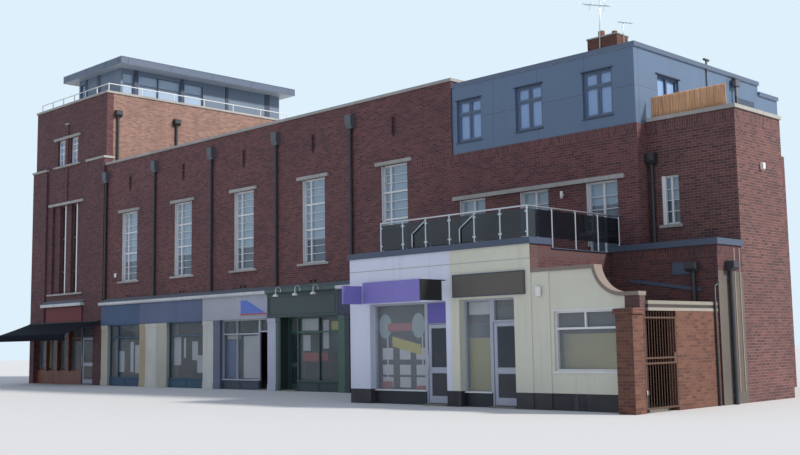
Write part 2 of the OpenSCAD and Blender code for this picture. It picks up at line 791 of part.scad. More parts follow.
// Glass of all windows above the shops, each pane against the inner side of its frame
module upper_glass() place() color("lightblue", 0.4) {
    for (i = [0 : window_count - 1]) {
        x = window_x(i);
        for (y = [pane_y, back_frame_y - glass_t])
            block([x, y, window_sill_z], [x + window_w, y + glass_t, window_head_z]);
        block([x, back_frame_y - glass_t, store_sill_z], [x + window_w, back_frame_y, store_head_z]);
    }
    for (d = terrace_dist)
        block([-d, pane_y, terrace_sill_z], [-d + terrace_door_w, pane_y + glass_t, terrace_head_z]);
    block([stair_win_x, stair_front + pane_y, stair_win_z0],
          [stair_win_x + stair_win_w, stair_front + pane_y + glass_t, stair_win_z1]);
    for (x = slot_x)
        block([x, recess_d + pane_y, recess_sill_z],
              [x + slot_w, recess_d + pane_y + glass_t, recess_head_z]);
    for (x = small_x) {
        block([x, pane_y, small_sill_z], [x + small_w, pane_y + glass_t, small_head_z]);
        for (z = tower_back_z)
            block([x, tower_frame_y - glass_t, z], [x + small_w, tower_frame_y, z + small_h]);
    }
    // Penthouse and lookout
    for (d = pent_win_dist)
        block([-d, pent_set + pent_reveal + frame_d, pent_sill_z],
              [-d + pent_win_w, pent_set + pent_reveal + frame_d + glass_t, pent_head_z]);
    block([-pent_set - pent_reveal - frame_d - glass_t, pent_side_win[0], pent_side_win[2]],
          [-pent_set - pent_reveal - frame_d, pent_side_win[1], pent_side_win[3]]);
    block([look_x0 + lookout_t + glass_t + pane_gap, lookout_front + lookout_t, look_glass[0]],
          [look_x0 + look_front_bay[1] + lookout_t, lookout_front + lookout_t + glass_t, look_glass[1]]);
    for (x = [look_x0 + lookout_t, look_x1 - lookout_t - glass_t])
        block([x, lookout_front + lookout_t, look_glass[0]],
              [x + glass_t, lookout_front + look_side_bays[2][1] + lookout_t, look_glass[1]]);
}

// Round downpipe with its hopper head, on a wall whose face is y = 0 and faces -Y
module downpipe(z0, z1, size = hopper) {
    translate([0, -pipe_off, z0]) cylinder(h = z1 - z0, r = pipe_r);
    translate([-size[0] / 2, 0, z1]) rotate([90, 0, 90]) linear_extrude(size[0])
        polygon([[0, 0], [-pipe_off - pipe_r, 0], [-size[1], size[2] / 3],
                 [-size[1], size[2]], [0, size[2]]]);
    // Clips that hold the pipe to the brick
    for (z = [z0 + clip_in : (z1 - z0 - 2 * clip_in) / 2 : z1 - clip_in])
        translate([-clip_w / 2, -pipe_off, z]) cube([clip_w, pipe_off, clip_w / 2]);
}

// Downpipes of the hall, the tower, the stair block and the low block
module downpipes() place() color("black") {
    lead_top = fascia_top_z + cornice_h + lead_rise;
    for (i = [0 : window_count - 2])
        translate([-first_window - bay * (i + 0.5) - pipe_shift, 0, 0]) downpipe(lead_top, pipe_top_z);
    translate([tower_x1 + hopper[0] / 2, 0, 0]) downpipe(lead_top, pipe_top_z);
    for (y = tower_pipe_y)
        translate([tower_x1, y, 0]) rotate([0, 0, 90]) downpipe(main_roof_z, tower_hopper_z, tower_hopper);
    translate([small_hopper[0] / 2, stair_front, 0]) downpipe(low_z, stair_hopper_z, small_hopper);
    translate([low_pipe_x, -low_front, 0])
        downpipe(yard_beam_z + yard_beam_h + yard_roof_t, low_hopper_z, low_hopper);
    translate([east_w, low_pipe_y, 0]) rotate([0, 0, 90]) downpipe(0, low_hopper_z, low_hopper);
}

// Rendered and timber-cased piers between the shops, and the posts beside recessed doors
module shop_piers() place() color(white) {
    for (i = [0 : len(pier_dist) - 1])
        block([pier_x(i), shop_y, 0], [pier_end(i), wall_t, shop_head_z]);
    // Under the right-hand corner, beside the extension
    block([ext_x1 - wall_t, 0, 0], [0, wall_t, shop_head_z]);
    // Side of the recess in front of the green shop's door
    block([green_x1, glaze_y + frame_d + glass_t, 0],
          [green_x1 + post_w, green_recess, shop_head_z]);
}

// Fascia boards over the shops, each with its soffit back to the brick
module shop_fascias() place() color("steelblue") {
    face = shop_y - board_out;
    for (r = fascia_runs)
        across(r[0], r[1] - r[0]) {
            rect([face, shop_head_z], [face + fascia_t, fascia_top_z]);
            rect([face, shop_head_z], [0, shop_head_z + fascia_t]);
        }
}

// Moulded cornice over the fascias with its sloping lead weathering, and the cafe's hood
module shop_cornice() place() color(stone) {
    front = shop_y - board_out - cornice_out;
    across(pier_x(0) - cornice_ear, ext_x0 - pier_x(0) + cornice_ear)
        polygon([[0, fascia_top_z], [front + cornice_h / 3, fascia_top_z],
                 [front, fascia_top_z + cornice_h / 3], [front, fascia_top_z + cornice_h],
                 [0, fascia_top_z + cornice_h + lead_rise]]);
    across(tower_x0 + shoulder_w[0], tower_w - shoulder_w[0] - shoulder_w[1])
        polygon([[0, hood_z], [-hood_out, hood_z], [-hood_out, hood_z + cornice_h],
                 [0, hood_z + cornice_h + lead_rise]]);
}

// Panelled stall risers under the shop windows
module stall_risers() place() color("steelblue") {
    for (r = riser_runs)
        block([r[0], glaze_y - riser_out, 0], [r[1], glaze_y + riser_t, stall_h]);
    for (w = ext_windows)
        block([w[0], ext_glaze_y - riser_out, 0], [w[1], ext_glaze_y + riser_t, ext_stall_h]);
}

// Frames of the shop windows and of the window in the wing wall
module shop_frames() place() color(white) {
    for (i = [0 : len(riser_runs) - 1])
        upright(glaze_y, frame_d)
            frame_outline([riser_runs[i][0], stall_h], [riser_runs[i][1], shop_head_z],
                          run_columns[i], [transom_z - stall_h, shop_head_z - transom_z], post_w);
    for (w = ext_windows)
        upright(ext_glaze_y, frame_d) frame_outline([w[0], ext_stall_h], [w[1], beam_z], [1], [1], post_w);
    upright(wing_y + wing_reveal, frame_d)
        frame_outline([wing_window[0], wing_window[2]], [wing_window[0] + wing_window[1], wing_window[3]],
                      [1], [2.4, 1], post_w);
}

// Frames over the doors, with their top lights
module door_heads() place() color(white) {
    for (d = top_lights)
        upright(d[2], frame_d) frame_outline([d[0], door_top_z + door_gap], [d[1], d[3]], [1], [1], post_w);
}

// One half of a hinge: a knuckle round the axis [x, y], a plate to its side and the web between them
// side: 1 where the plate lies to the right of the axis, -1 to the left
module hinge_half(x, y, z, side) {
    plate_x = side > 0 ? door_gap / 2 : -door_gap / 2 - hinge_plate_w;
    translate([x, y, z]) {
        cylinder(h = knuckle_h, r = knuckle_r);
        translate([plate_x, -knuckle_off, 0]) cube([hinge_plate_w, plate_t, knuckle_h]);
        translate([side > 0 ? 0 : -door_gap / 2 - 1, 1 - knuckle_off, 0])
            cube([door_gap / 2 + 1, knuckle_off - 1, knuckle_h]);
    }
}

// Fixed hinge halves on a post: plates on its back face
module fixed_hinges(x, y, side) {
    for (z = hinge_levels) hinge_half(x, y, z, side);
}

// Door leaf with a glazed panel over and under its middle rail, and its half of the hinges
// x0, x1: edges of the leaf. y: its back face. side: 1 where the hinges are at the right, -1 at the left
module door_leaf(x0, x1, y, side) {
    axis_x = side > 0 ? x1 + door_gap / 2 : x0 - door_gap / 2;
    upright(y - leaf_t, leaf_t) difference() {
        rect([x0, leaf_base_z], [x1, door_top_z]);
        rect([x0 + stile_w, leaf_base_z + 2 * stile_w], [x1 - stile_w, mid_rail_z]);
        rect([x0 + stile_w, mid_rail_z + 1.5 * stile_w], [x1 - stile_w, door_top_z - stile_w]);
    }
    upright(y - leaf_t / 2 - glass_t / 2, glass_t)
        rect([x0 + stile_w / 2, leaf_base_z + stile_w / 2], [x1 - stile_w / 2, door_top_z - stile_w / 2]);
    for (z = hinge_levels) hinge_half(axis_x, y + knuckle_off, z + knuckle_h + knuckle_gap, -side);
    // Pull handle on two feet on the street side
    handle_x = side > 0 ? x0 + stile_w / 2 : x1 - stile_w / 2;
    translate([handle_x, y - leaf_t - handle_out, handle_z[0]])
        cylinder(h = handle_z[1] - handle_z[0], r = handle_r);
    for (z = [handle_z[0] + 3 * handle_r, handle_z[1] - 3 * handle_r])
        translate([handle_x, y - leaf_t, z]) rotate([90, 0, 0]) cylinder(h = handle_out, r = handle_r * 0.8);
}

// Upright posts beside a hinged door, with the fixed hinges on one of them
module door_posts(d, side) {
    block([d[0] - post_w, d[2], 0], [d[0], d[2] + frame_d, d[3]]);
    block([d[1], d[2], 0], [d[1] + post_w, d[2] + frame_d, d[3]]);
    fixed_hinges(side > 0 ? d[1] - door_gap / 2 : d[0] + door_gap / 2, d[2] + frame_d + knuckle_off, side);
}

// Leaf of a hinged door inside its opening
module leaf_in(opening, side) {
    door_leaf(opening[0] + door_gap, opening[1] - door_gap, opening[2] + frame_d, side);
}

module green_shop_door() place() color("darkgreen") leaf_in(green_door, -1);
module west_shop_door() place() color(white) leaf_in(west_door, 1);
module east_shop_door() place() color(white) leaf_in(east_door, -1);
module cafe_door() place() color("dimgray") leaf_in(cafe_leaf, 1);

// Posts on both sides of the hinged shop doors, with their fixed hinge halves
module door_frames() place() color(white) {
    door_posts(green_door, -1);
    door_posts(west_door, 1);
    door_posts(east_door, -1);
    door_posts(cafe_leaf, 1);
}

// Glass of the ground floor, each pane behind its frame
module ground_glass() place() color("lightblue", 0.4) {
    for (r = riser_runs)
        block([r[0], glaze_y + frame_d, stall_h], [r[1], glaze_y + frame_d + glass_t, shop_head_z]);
    for (d = top_lights)
        block([d[0], d[2] + frame_d, door_top_z + top_light_in], [d[1], d[2] + frame_d + glass_t, d[3]]);
    for (w = ext_windows)
        block([w[0], ext_glaze_y + frame_d, ext_stall_h], [w[1], ext_glaze_y + frame_d + glass_t, beam_z]);
    block([cafe_x0, cafe_y + frame_d, cafe_stall_h],
          [cafe_door_x0 - post_w, cafe_y + frame_d + glass_t, cafe_head_z]);
    block([wing_window[0], wing_y + wing_reveal + frame_d, wing_window[2]],
          [wing_window[0] + wing_window[1], wing_y + wing_reveal + frame_d + glass_t, wing_window[3]]);
}

// Tower front over the cafe, with the sunk bay, its two tall lights and the two small windows
module tower_front_wall() place() color(brick) difference() {
    block([tower_x0, 0, cafe_head_z], [tower_x1, wall_t, tower_z]);
    block([tower_cx - recess_half, -1, recess_sill_z], [tower_cx + recess_half, recess_d, recess_head_z]);
    for (x = slot_x) block([x, 0, recess_sill_z], [x + slot_w, wall_t + 1, recess_head_z]);
    for (x = small_x) block([x, -1, small_sill_z], [x + small_w, wall_t + 1, small_head_z]);
}

// Left and right walls of the tower
module tower_side_walls() place() color(brick)
    for (x = [tower_x0, tower_in1])
        block([x, wall_t, 0], [x + wall_t, tower_back_in, tower_z]);

// Back wall of the tower, with the small windows repeated at each floor
module tower_back_wall() place() color(brick)
    upright(tower_back_in, wall_t) difference() {
        rect([tower_x0, 0], [tower_x1, tower_z]);
        for (x = small_x, z = tower_back_z)
            rect([x, z], [x + small_w, z + small_h]);
    }

// Brick piers beside the cafe front, the two shoulder piers above them,
// and the brick fin with its head between the small windows
module tower_shoulders() place() color(brick) {
    block([tower_x0, 0, 0], [cafe_x0, wall_t, cafe_head_z]);
    block([cafe_x1, -shoulder_out, 0], [tower_x1, wall_t, cafe_head_z]);
    block([tower_x0 - shoulder_out, -shoulder_out, 0], [cafe_x0, 0, cafe_head_z]);
    block([tower_x0 - shoulder_out, -shoulder_out, cafe_head_z], [tower_x0 + shoulder_w[0], 0, shoulder_z]);
    block([tower_x1 - shoulder_w[1], -shoulder_out, cafe_head_z], [tower_x1, 0, shoulder_z]);
    block([tower_x0 - shoulder_out, 0, 0], [tower_x0, shoulder_back, shoulder_z]);
    block([tower_cx - fin_half / 2, -fin_out, small_head_z + lintel_h],
          [tower_cx + fin_half / 2, 0, small_head_z + lintel_h + finial_h]);
    block([tower_cx - fin_half / 2, -fin_out, small_sill_z], [tower_cx + fin_half / 2, 0, small_head_z]);
}

// Timber cafe front: riser, framed glazing and turned-brown posts
module cafe_front() place() color("saddlebrown") {
    end = cafe_door_x0 - post_w;
    block([cafe_x0, cafe_y - riser_out, 0], [end, cafe_y + riser_t, cafe_stall_h]);
    upright(cafe_y, frame_d)
        frame_outline([cafe_x0, cafe_stall_h], [end, cafe_head_z], [1, 1, 1, 1], [3, 1], post_w);
    for (i = [1 : 3])
        block([cafe_x0 + (end - cafe_x0) * i / 4 - cafe_post / 2, cafe_y - cafe_post, cafe_stall_h],
              [cafe_x0 + (end - cafe_x0) * i / 4 + cafe_post / 2, cafe_y, cafe_head_z]);
}

// Cloth of the awning with its hanging valance
module awning() place() color("black") {
    back = awning_y - cassette[0] - awning_clear;
    across(awning_x0, awning_w)
        polygon([[back, awning_back_z], [-awning_out, awning_front_z],
                 [-awning_out, awning_front_z - valance_h],
                 [-awning_out + awning_t / 2, awning_front_z - valance_h],
                 [-awning_out + awning_t / 2, awning_front_z - awning_t], [back, awning_back_z - awning_t]]);
}

// Straight round bar between two points
module strut(a, b, r) {
    d = b - a;
    n = norm(d);
    translate(a) rotate([0, acos(d[2] / n), atan2(d[1], d[0])]) cylinder(h = n, r = r);
}

// Awning box on the wall, front bar and two arms under the cloth
module awning_frame() place() color("gray") {
    block([awning_x0, awning_y - cassette[0], awning_back_z - cassette[1]],
          [awning_x0 + awning_w, awning_y, awning_back_z + awning_t]);
    bar_y = -awning_out + awning_t / 2 + awning_bar_r + awning_clear;
    bar_z = awning_front_z - awning_t - awning_bar_r - awning_clear;
    translate([awning_x0, bar_y, bar_z]) rotate([0, 90, 0]) cylinder(h = awning_w, r = awning_bar_r);
    for (x = [awning_x0 + awning_arm_in, awning_x0 + awning_w - awning_arm_in])
        strut([x, awning_y - cassette[0] / 2, awning_back_z - cassette[1] / 2], [x, bar_y, bar_z],
              awning_bar_r * 0.8);
}

// Walls of the roof lookout: glazed bays beside its front corners, panels elsewhere
module lookout_walls() place() color(slate) difference() {
    block([look_x0, lookout_front, tower_roof_z], [look_x1, look_y1, lookout_z]);
    block([look_x0 + lookout_t, lookout_front + lookout_t, tower_roof_z - 1],
          [look_x1 - lookout_t, look_y1 - lookout_t, lookout_z + 1]);
    block([look_x0 + look_front_bay[0], lookout_front - 1, look_glass[0]],
          [look_x0 + look_front_bay[1], lookout_front + lookout_t + 1, look_glass[1]]);
    for (b = look_side_bays, x = [look_x0 - 1, look_x1 - lookout_t - 1])
        block([x, lookout_front + b[0], look_glass[0]],
              [x + lookout_t + 2, lookout_front + b[1], look_glass[1]]);
}

// Wide flat roof plate of the lookout
module lookout_roof() place() color(slate)
    block([look_x0 - lookout_eaves[0], lookout_front - lookout_eaves[1], lookout_z],
          [look_x1 + lookout_eaves[0], look_y1 + lookout_eaves[1], lookout_z + lookout_roof_t]);

// Low white rail on the tower's front and right-hand parapets
module tower_rail() place() color(white) {
    z0 = tower_z + coping_t;
    y = wall_t / 2;
    x0 = tower_x0 + wall_t / 2;
    x1 = tower_x1 - wall_t / 2;
    y1 = tower_back_in;
    strut([x0, y, z0 + rail_h], [x1 + rail_r, y, z0 + rail_h], rail_r);
    strut([x1, y - rail_r, z0 + rail_h], [x1, y1, z0 + rail_h], rail_r);
    for (i = [0 : rail_posts - 1]) {
        strut([x0 + (x1 - x0) * i / rail_posts, y, z0],
              [x0 + (x1 - x0) * i / rail_posts, y, z0 + rail_h], rail_r);
        strut([x1, y + (y1 - rail_r - y) * (i + 1) / rail_posts, z0],
              [x1, y + (y1 - rail_r - y) * (i + 1) / rail_posts, z0 + rail_h], rail_r);
    }
    strut([x1, y, z0], [x1, y, z0 + rail_h], rail_r);
}

// Clad walls of the penthouse: front, right-hand side and back, and the lower part behind
module penthouse_walls() place() color(slate) difference() {
    union() {
        translate([0, 0, low_front_z]) linear_extrude(pent_step_z - low_front_z) difference() {
            rect([-high_end, pent_set], [-pent_set, penthouse_d + pent_back]);
            rect([-high_end - 1, pent_set + clad_t], [-pent_set - clad_t, penthouse_d + pent_back - clad_t]);
        }
        translate([0, 0, pent_step_z]) linear_extrude(penthouse_z - pent_step_z) difference() {
            rect([-high_end, pent_set], [-pent_set, penthouse_d]);
            rect([-high_end - 1, pent_set + clad_t], [-pent_set - clad_t, penthouse_d - clad_t]);
        }
    }
    for (d = pent_win_dist)
        block([-d, 0, pent_sill_z], [-d + pent_win_w, pent_set + clad_t + 1, pent_head_z]);
    block([-pent_set - clad_t - 1, pent_side_win[0], pent_side_win[2]],
          [1, pent_side_win[1], pent_side_win[3]]);
}

// Flat roofs of the penthouse with a thin metal edge
module penthouse_roof() place() color("lightslategray") {
    block([-high_end, 0, penthouse_z], [pent_eaves - pent_set, penthouse_d, penthouse_z + penthouse_roof_t]);
    block([-high_end, penthouse_d, pent_step_z],
          [pent_eaves - pent_set, penthouse_d + pent_back, pent_step_z + penthouse_roof_t]);
}

// Dark frames of the penthouse windows
module penthouse_windows() place() color("darkslategray") {
    for (d = pent_win_dist)
        upright(pent_set + pent_reveal, frame_d)
            frame_outline([-d, pent_sill_z], [-d + pent_win_w, pent_head_z], [1, 1], [2, 1]);
    across(-pent_set - pent_reveal - frame_d, frame_d)
        frame_outline([pent_side_win[0], pent_side_win[2]], [pent_side_win[1], pent_side_win[3]], [1, 1]);
}

// Stair block: three brick walls against the main block, with one window
module stair_block_walls() place() color(brick) difference() {
    linear_extrude(stair_z) difference() {
        rect([0, stair_front], [east_w, stair_back]);
        rect([-1, stair_front + wall_t], [east_w - wall_t, stair_back - wall_t]);
    }
    block([stair_win_x, stair_front - 1, stair_win_z0],
          [stair_win_x + stair_win_w, stair_front + wall_t + 1, stair_win_z1]);
}

// Reed screen on the stair block's front coping
module reed_screen() place() color("tan")
    block([screen_in, stair_front + screen_in, stair_z + coping_t],
          [east_w - screen_in - wall_t / 2, stair_front + screen_in + screen_t,
           stair_z + coping_t + screen_h]);

// Low block in front of the stair block
module low_block_walls() place() color(brick)
    linear_extrude(low_z) difference() {
        rect([ext_x1, -low_front], [east_w, stair_front]);
        rect([ext_x1 - 1, -low_front + wall_t], [east_w - wall_t, stair_front + 1]);
    }

// Front piers of the extension, on a dark plinth
module extension_piers() place() color(white)
    for (p = [[ext_x0, ext_in0], [mid_x0, mid_x1], [ext_in1, ext_x1]])
        block([p[0], ext_y, 0], [p[1], ext_y + pier_d, beam_z]);

// Side walls of the extension, the right-hand one raised behind the front parapet
module extension_side_walls() place() color(brick) {
    block([ext_x0, ext_y + pier_d, 0], [ext_x0 + ext_side_t, 0, deck_z - slab_t]);
    block([ext_x1 - wall_t, ext_y + pier_d, 0], [ext_x1, 0, deck_z - slab_t]);
    block([ext_x1 - wall_t, ext_y + pier_d, deck_z], [ext_x1, ext_y + return_d, beam_top_z]);
}

// Front beam and parapet of the extension
module extension_beam() place() color("ivory")
    block([ext_x0, ext_y, beam_z], [ext_x1, ext_y + pier_d, beam_top_z]);

// Grey metal trims on the edges of the extension and the low block
module roof_trims() place() color(slate) {
    // Extension: front edge, returned a little way along the right-hand side
    translate([0, 0, beam_top_z]) linear_extrude(trim_h) {
        rect([ext_x0 - trim_out, ext_y - trim_out], [ext_x1 + trim_out, ext_y + pier_d + trim_out]);
        rect([ext_x1 - wall_t - trim_out, ext_y], [ext_x1 + trim_out, ext_y + return_d]);
    }
    // Extension: lower trim along the rest of the right-hand side
    translate([0, 0, deck_z]) linear_extrude(side_trim_t) {
        rect([ext_x1 - wall_t, ext_y + return_d], [ext_x1 + trim_out, -low_front - trim_out]);
        rect([ext_x1 - wall_t, ext_y + return_d], [ext_x1, 0]);
    }
    // Low block: front and right-hand side
    translate([0, 0, low_z]) linear_extrude(trim_h) {
        rect([ext_x1, -low_front - trim_out], [east_w + trim_out, -low_front + wall_t]);
        rect([east_w - wall_t, -low_front - trim_out], [east_w + trim_out, stair_front]);
    }
}

// Steel posts and handrail round the roof terrace
module balustrade() place() color("silver") {
    top = deck_z + balustrade_h;
    strut([bal_x0 - tube_r, bal_y, top], [bal_x1 + tube_r, bal_y, top], tube_r);
    strut([bal_x1, bal_y, top], [bal_x1, 0, top], tube_r);
    strut([bal_x0, bal_y, top], [bal_x0, -tube_r, top], tube_r);
    for (x = bal_front) strut([x, bal_y, front_foot], [x, bal_y, top], tube_r);
    for (y = bal_side) {
        strut([bal_x1, y, deck_z + side_trim_t], [bal_x1, y, top], tube_r);
        strut([bal_x0, y, deck_z], [bal_x0, y, top], tube_r);
    }
}

// Glass panels between the posts
module balustrade_glass() place() color("dimgray", 0.5) {
    z0 = front_foot + panel_gap;
    z1 = deck_z + balustrade_h - tube_r - panel_gap;
    for (i = [0 : len(bal_front) - 2])
        block([bal_front[i] + tube_r, bal_y - panel_t / 2, z0],
              [bal_front[i + 1] - tube_r, bal_y + panel_t / 2, z1]);
    for (x = [bal_x0, bal_x1], i = [0 : len(bal_side_all) - 2])
        block([x - panel_t / 2, bal_side_all[i] + tube_r, z0],
              [x + panel_t / 2, bal_side_all[i + 1] - tube_r, z1]);
}

// Top line of the wing wall, lifted by t: level, then a concave sweep, then a low level end
function wing_top(t) = let (r = sweep_r - t, cz = wing_low_z + sweep_r, z1 = wing_z + t,
                            start = acos((cz - z1) / r))
    concat([[ext_x1, z1]],
           [for (i = [0 : sweep_steps]) let (a = start * (1 - i / sweep_steps))
                [sweep_x - r * sin(a), cz - r * cos(a)]],
           [[wing_end, wing_low_z + t]]);

// Rendered wing wall with its corner pilaster and window
module wing_wall() place() color("ivory") {
    upright(wing_y, wing_t) difference() {
        polygon(concat([[ext_x1, 0]], wing_top(0), [[wing_end, 0]]));
        rect([wing_window[0], wing_window[2]], [wing_window[0] + wing_window[1], wing_window[3]]);
    }
    block([ext_x1, wing_y - pilaster_out, 0], [0, wing_y, wing_z]);
}

// Brick-on-edge coping that follows the sweep
module wing_coping() place() color("rosybrown")
    upright(wing_y - cap_out, wing_t + 2 * cap_out)
        polygon(concat(wing_top(0), [for (i = [len(wing_top(0)) - 1 : -1 : 0]) wing_top(brick_cap)[i]]));

// Brick gate pier with its cap, and the yard wall beyond the gateway
module yard_walls() place() color(brick) {
    pier_x0 = yard_x - gate_pier[0];
    pier_y0 = wing_y - gate_pier[1];
    block([pier_x0, pier_y0, 0], [yard_x, wing_y, gate_pier_z]);
    block([pier_x0 - cap_out, pier_y0 - cap_out, gate_pier_z],
          [yard_x + cap_out, wing_y, gate_pier_z + pier_cap]);
    block([yard_x - yard_t, wing_y + gate_w, 0], [yard_x, -low_front, yard_beam_z]);
    // Two hook pins for the gate
    for (z = gate_hinge_z) {
        translate([gate_axis[0], gate_axis[1], z]) cylinder(h = knuckle_h, r = knuckle_r);
        block([yard_x, wing_y - hinge_plate_w, z], [yard_x + plate_t, wing_y, z + knuckle_h]);
        block([yard_x + 1, wing_y - plate_t, z], [gate_axis[0], gate_axis[1], z + knuckle_h]);
    }
}

// Beam over the gateway with the covered yard's flat roof
module yard_roof() place() color("silver") {
    block([yard_x - yard_t, wing_back, yard_beam_z], [yard_x, -low_front, yard_beam_z + yard_beam_h]);
    block([ext_x1, wing_back, yard_beam_z + yard_beam_h],
          [yard_x, -low_front, yard_beam_z + yard_beam_h + yard_roof_t]);
}

// Barred steel gate
module yard_gate() place() color("black") {
    y0 = wing_y + gate_gap;
    y1 = wing_y + gate_w - gate_gap;
    xg = yard_x - gate_t;
    for (z = [gate_base_z, gate_mid_z, gate_mid_z + gate_rail * 3, gate_top_z - gate_rail - gate_spike])
        block([xg, y0, z], [yard_x, y1, z + gate_rail]);
    for (y = [y0, y1 - gate_rail])
        block([xg, y, gate_base_z], [yard_x, y + gate_rail, gate_top_z - gate_spike]);
    n = round((y1 - y0) / bar_gap);
    for (i = [1 : n - 1])
        translate([yard_x - gate_t / 2, y0 + (y1 - y0) * i / n, gate_base_z + gate_rail / 2])
            cylinder(h = gate_top_z - gate_base_z - gate_rail / 2, r = bar_r);
    block([xg, y1 - lock_size[0], gate_mid_z], [yard_x, y1, gate_mid_z + lock_size[1]]);
    // Hinge eyes over the hook pins
    for (z = gate_hinge_z) {
        translate([gate_axis[0], gate_axis[1], z + knuckle_h + knuckle_gap])
            cylinder(h = knuckle_h, r = knuckle_r);
        block([yard_x, y0, z + knuckle_h + knuckle_gap],
              [yard_x + plate_t, y0 + gate_rail, z + 2 * knuckle_h + knuckle_gap]);
        block([yard_x + 1, gate_axis[1], z + knuckle_h + knuckle_gap],
              [gate_axis[0], y0 + 1, z + 2 * knuckle_h + knuckle_gap]);
    }
}

// Bare sign boards, flat ones on the fronts and two that hang over the pavement
module sign_boards() place() color("purple") {
    for (s = flat_signs)
        block([s[0], s[4] - sign_t, s[2]], [s[1], s[4], s[3]]);
    for (b = blade_signs) {
        block([b[0] - blade_t / 2, ext_y - b[1], b[3]], [b[0] + blade_t / 2, ext_y - b[2], b[4]]);
        strut([b[0], ext_y - b[1], b[4] + blade_bar], [b[0], ext_y, b[4] + blade_bar], blade_bar);
    }
}

// Chimney behind the penthouse's front edge
module chimney() place() color("tan")
    block([-chimney_at[0], chimney_at[1], penthouse_z + penthouse_roof_t],
          [-chimney_at[0] + chimney_size[0], chimney_at[1] + chimney_size[1],
           penthouse_z + penthouse_roof_t + chimney_size[2]]);

ground_floor();
main_front_wall();
main_back_wall();
main_cross_walls();
floor_slabs();
roof_slabs();
copings();
lintels_and_sills();
upper_window_frames();
upper_glass();
downpipes();
shop_piers();
shop_fascias();
shop_cornice();
stall_risers();
shop_frames();
door_heads();
door_frames();
ground_glass();
green_shop_door();
tower_front_wall();
tower_side_walls();
tower_back_wall();
tower_shoulders();
cafe_front();
cafe_door();
awning();
awning_frame();
lookout_walls();
lookout_roof();
tower_rail();
penthouse_walls();
penthouse_roof();
penthouse_windows();
stair_block_walls();
reed_screen();
low_block_walls();
extension_piers();
extension_side_walls();
extension_beam();
roof_trims();
west_shop_door();
east_shop_door();
balustrade();
balustrade_glass();
wing_wall();
wing_coping();
yard_walls();
yard_roof();
yard_gate();
sign_boards();
chimney();
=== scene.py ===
import math
import random

import bpy
from mathutils import Matrix, Vector


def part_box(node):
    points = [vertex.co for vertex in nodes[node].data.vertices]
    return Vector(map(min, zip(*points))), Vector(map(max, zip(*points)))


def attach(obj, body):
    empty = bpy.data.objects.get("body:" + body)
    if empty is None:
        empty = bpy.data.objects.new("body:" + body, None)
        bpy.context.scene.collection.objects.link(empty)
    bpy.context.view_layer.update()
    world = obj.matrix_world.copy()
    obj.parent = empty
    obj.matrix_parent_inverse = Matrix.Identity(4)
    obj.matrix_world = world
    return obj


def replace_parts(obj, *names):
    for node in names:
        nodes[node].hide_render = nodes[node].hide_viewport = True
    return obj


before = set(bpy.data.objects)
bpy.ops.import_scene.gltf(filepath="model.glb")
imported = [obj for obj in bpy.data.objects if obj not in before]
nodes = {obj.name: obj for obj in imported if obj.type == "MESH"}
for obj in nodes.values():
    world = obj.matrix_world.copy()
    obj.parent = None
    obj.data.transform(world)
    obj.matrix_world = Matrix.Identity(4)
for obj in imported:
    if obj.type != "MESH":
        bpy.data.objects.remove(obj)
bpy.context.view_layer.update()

# Camera, pale floor and light. The camera stands in front of the right-hand end and looks left
# along the shopfronts. The key light comes from behind the right-hand end, so the shopfronts lie
# in open shade and the walls that face right are sunlit.
front_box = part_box("main_front_wall")
corner = Vector((front_box[1].x, front_box[0].y, 0))


def at(x, y, z):
    # Places are measured from the hall's right-hand front corner, at the foot of the wall
    return Vector((x, y, z)) + corner


eye = at(16.0111, -25.0066, 1.6953)
yaw, pitch, roll = (math.radians(a) for a in (-44.0257, 6.6624, -1.0596))
picture_w, picture_h, focal_px = 800, 455, 1080.4
middle_x, middle_y = 423.987, 214.836
ahead = Vector((math.sin(yaw) * math.cos(pitch), math.cos(yaw) * math.cos(pitch), math.sin(pitch)))
level = Vector((math.cos(yaw), -math.sin(yaw), 0))
upright = level.cross(ahead)
right_of_view = level * math.cos(roll) + upright * math.sin(roll)
top_of_view = upright * math.cos(roll) - level * math.sin(roll)
bpy.ops.object.camera_add(location=eye)
camera = bpy.context.object
turn = Matrix((right_of_view, top_of_view, -ahead)).transposed().to_4x4()
camera.matrix_world = Matrix.Translation(eye) @ turn
camera.data.sensor_width = 36
camera.data.lens = focal_px * camera.data.sensor_width / picture_w
camera.data.shift_x = (picture_w / 2 - middle_x) / picture_w
camera.data.shift_y = (middle_y - picture_h / 2) / picture_w
camera.data.clip_end = 400
bpy.context.scene.camera = camera
bpy.context.scene.view_settings.view_transform = "Standard"


def add(tree, kind, inputs=None, **settings):
    node = tree.nodes.new(kind)
    for name, value in settings.items():
        setattr(node, name, value)
    for name, value in (inputs or {}).items():
        if isinstance(value, bpy.types.NodeSocket):
            tree.links.new(value, node.inputs[name])
        else:
            node.inputs[name].default_value = value
    return node


def colour(red, green, blue):
    # A colour is written as it looks on a screen, from 0 to 255
    return tuple(c / 255 / 12.92 if c <= 10 else ((c / 255 + 0.055) / 1.055) ** 2.4
                 for c in (red, green, blue)) + (1.0,)


def math_of(tree, operation, a, b=0.0, clamp=False):
    node = add(tree, "ShaderNodeMath", {0: a, 1: b}, operation=operation, use_clamp=clamp)
    return node.outputs[0]


floor_size, floor_drop = 240, 0.002
bpy.ops.mesh.primitive_plane_add(size=floor_size, location=(0, 0, -floor_drop))
floor = bpy.context.object
floor.name = "floor"
pale_floor = bpy.data.materials.new("pale_floor")
pale_floor.use_nodes = True
tree = pale_floor.node_tree
tree.nodes.clear()
lit = add(tree, "ShaderNodeBsdfPrincipled", {"Base Color": colour(206, 207, 208), "Roughness": 0.9})
tree.links.new(lit.outputs[0], add(tree, "ShaderNodeOutputMaterial").inputs[0])
floor.data.materials.append(pale_floor)

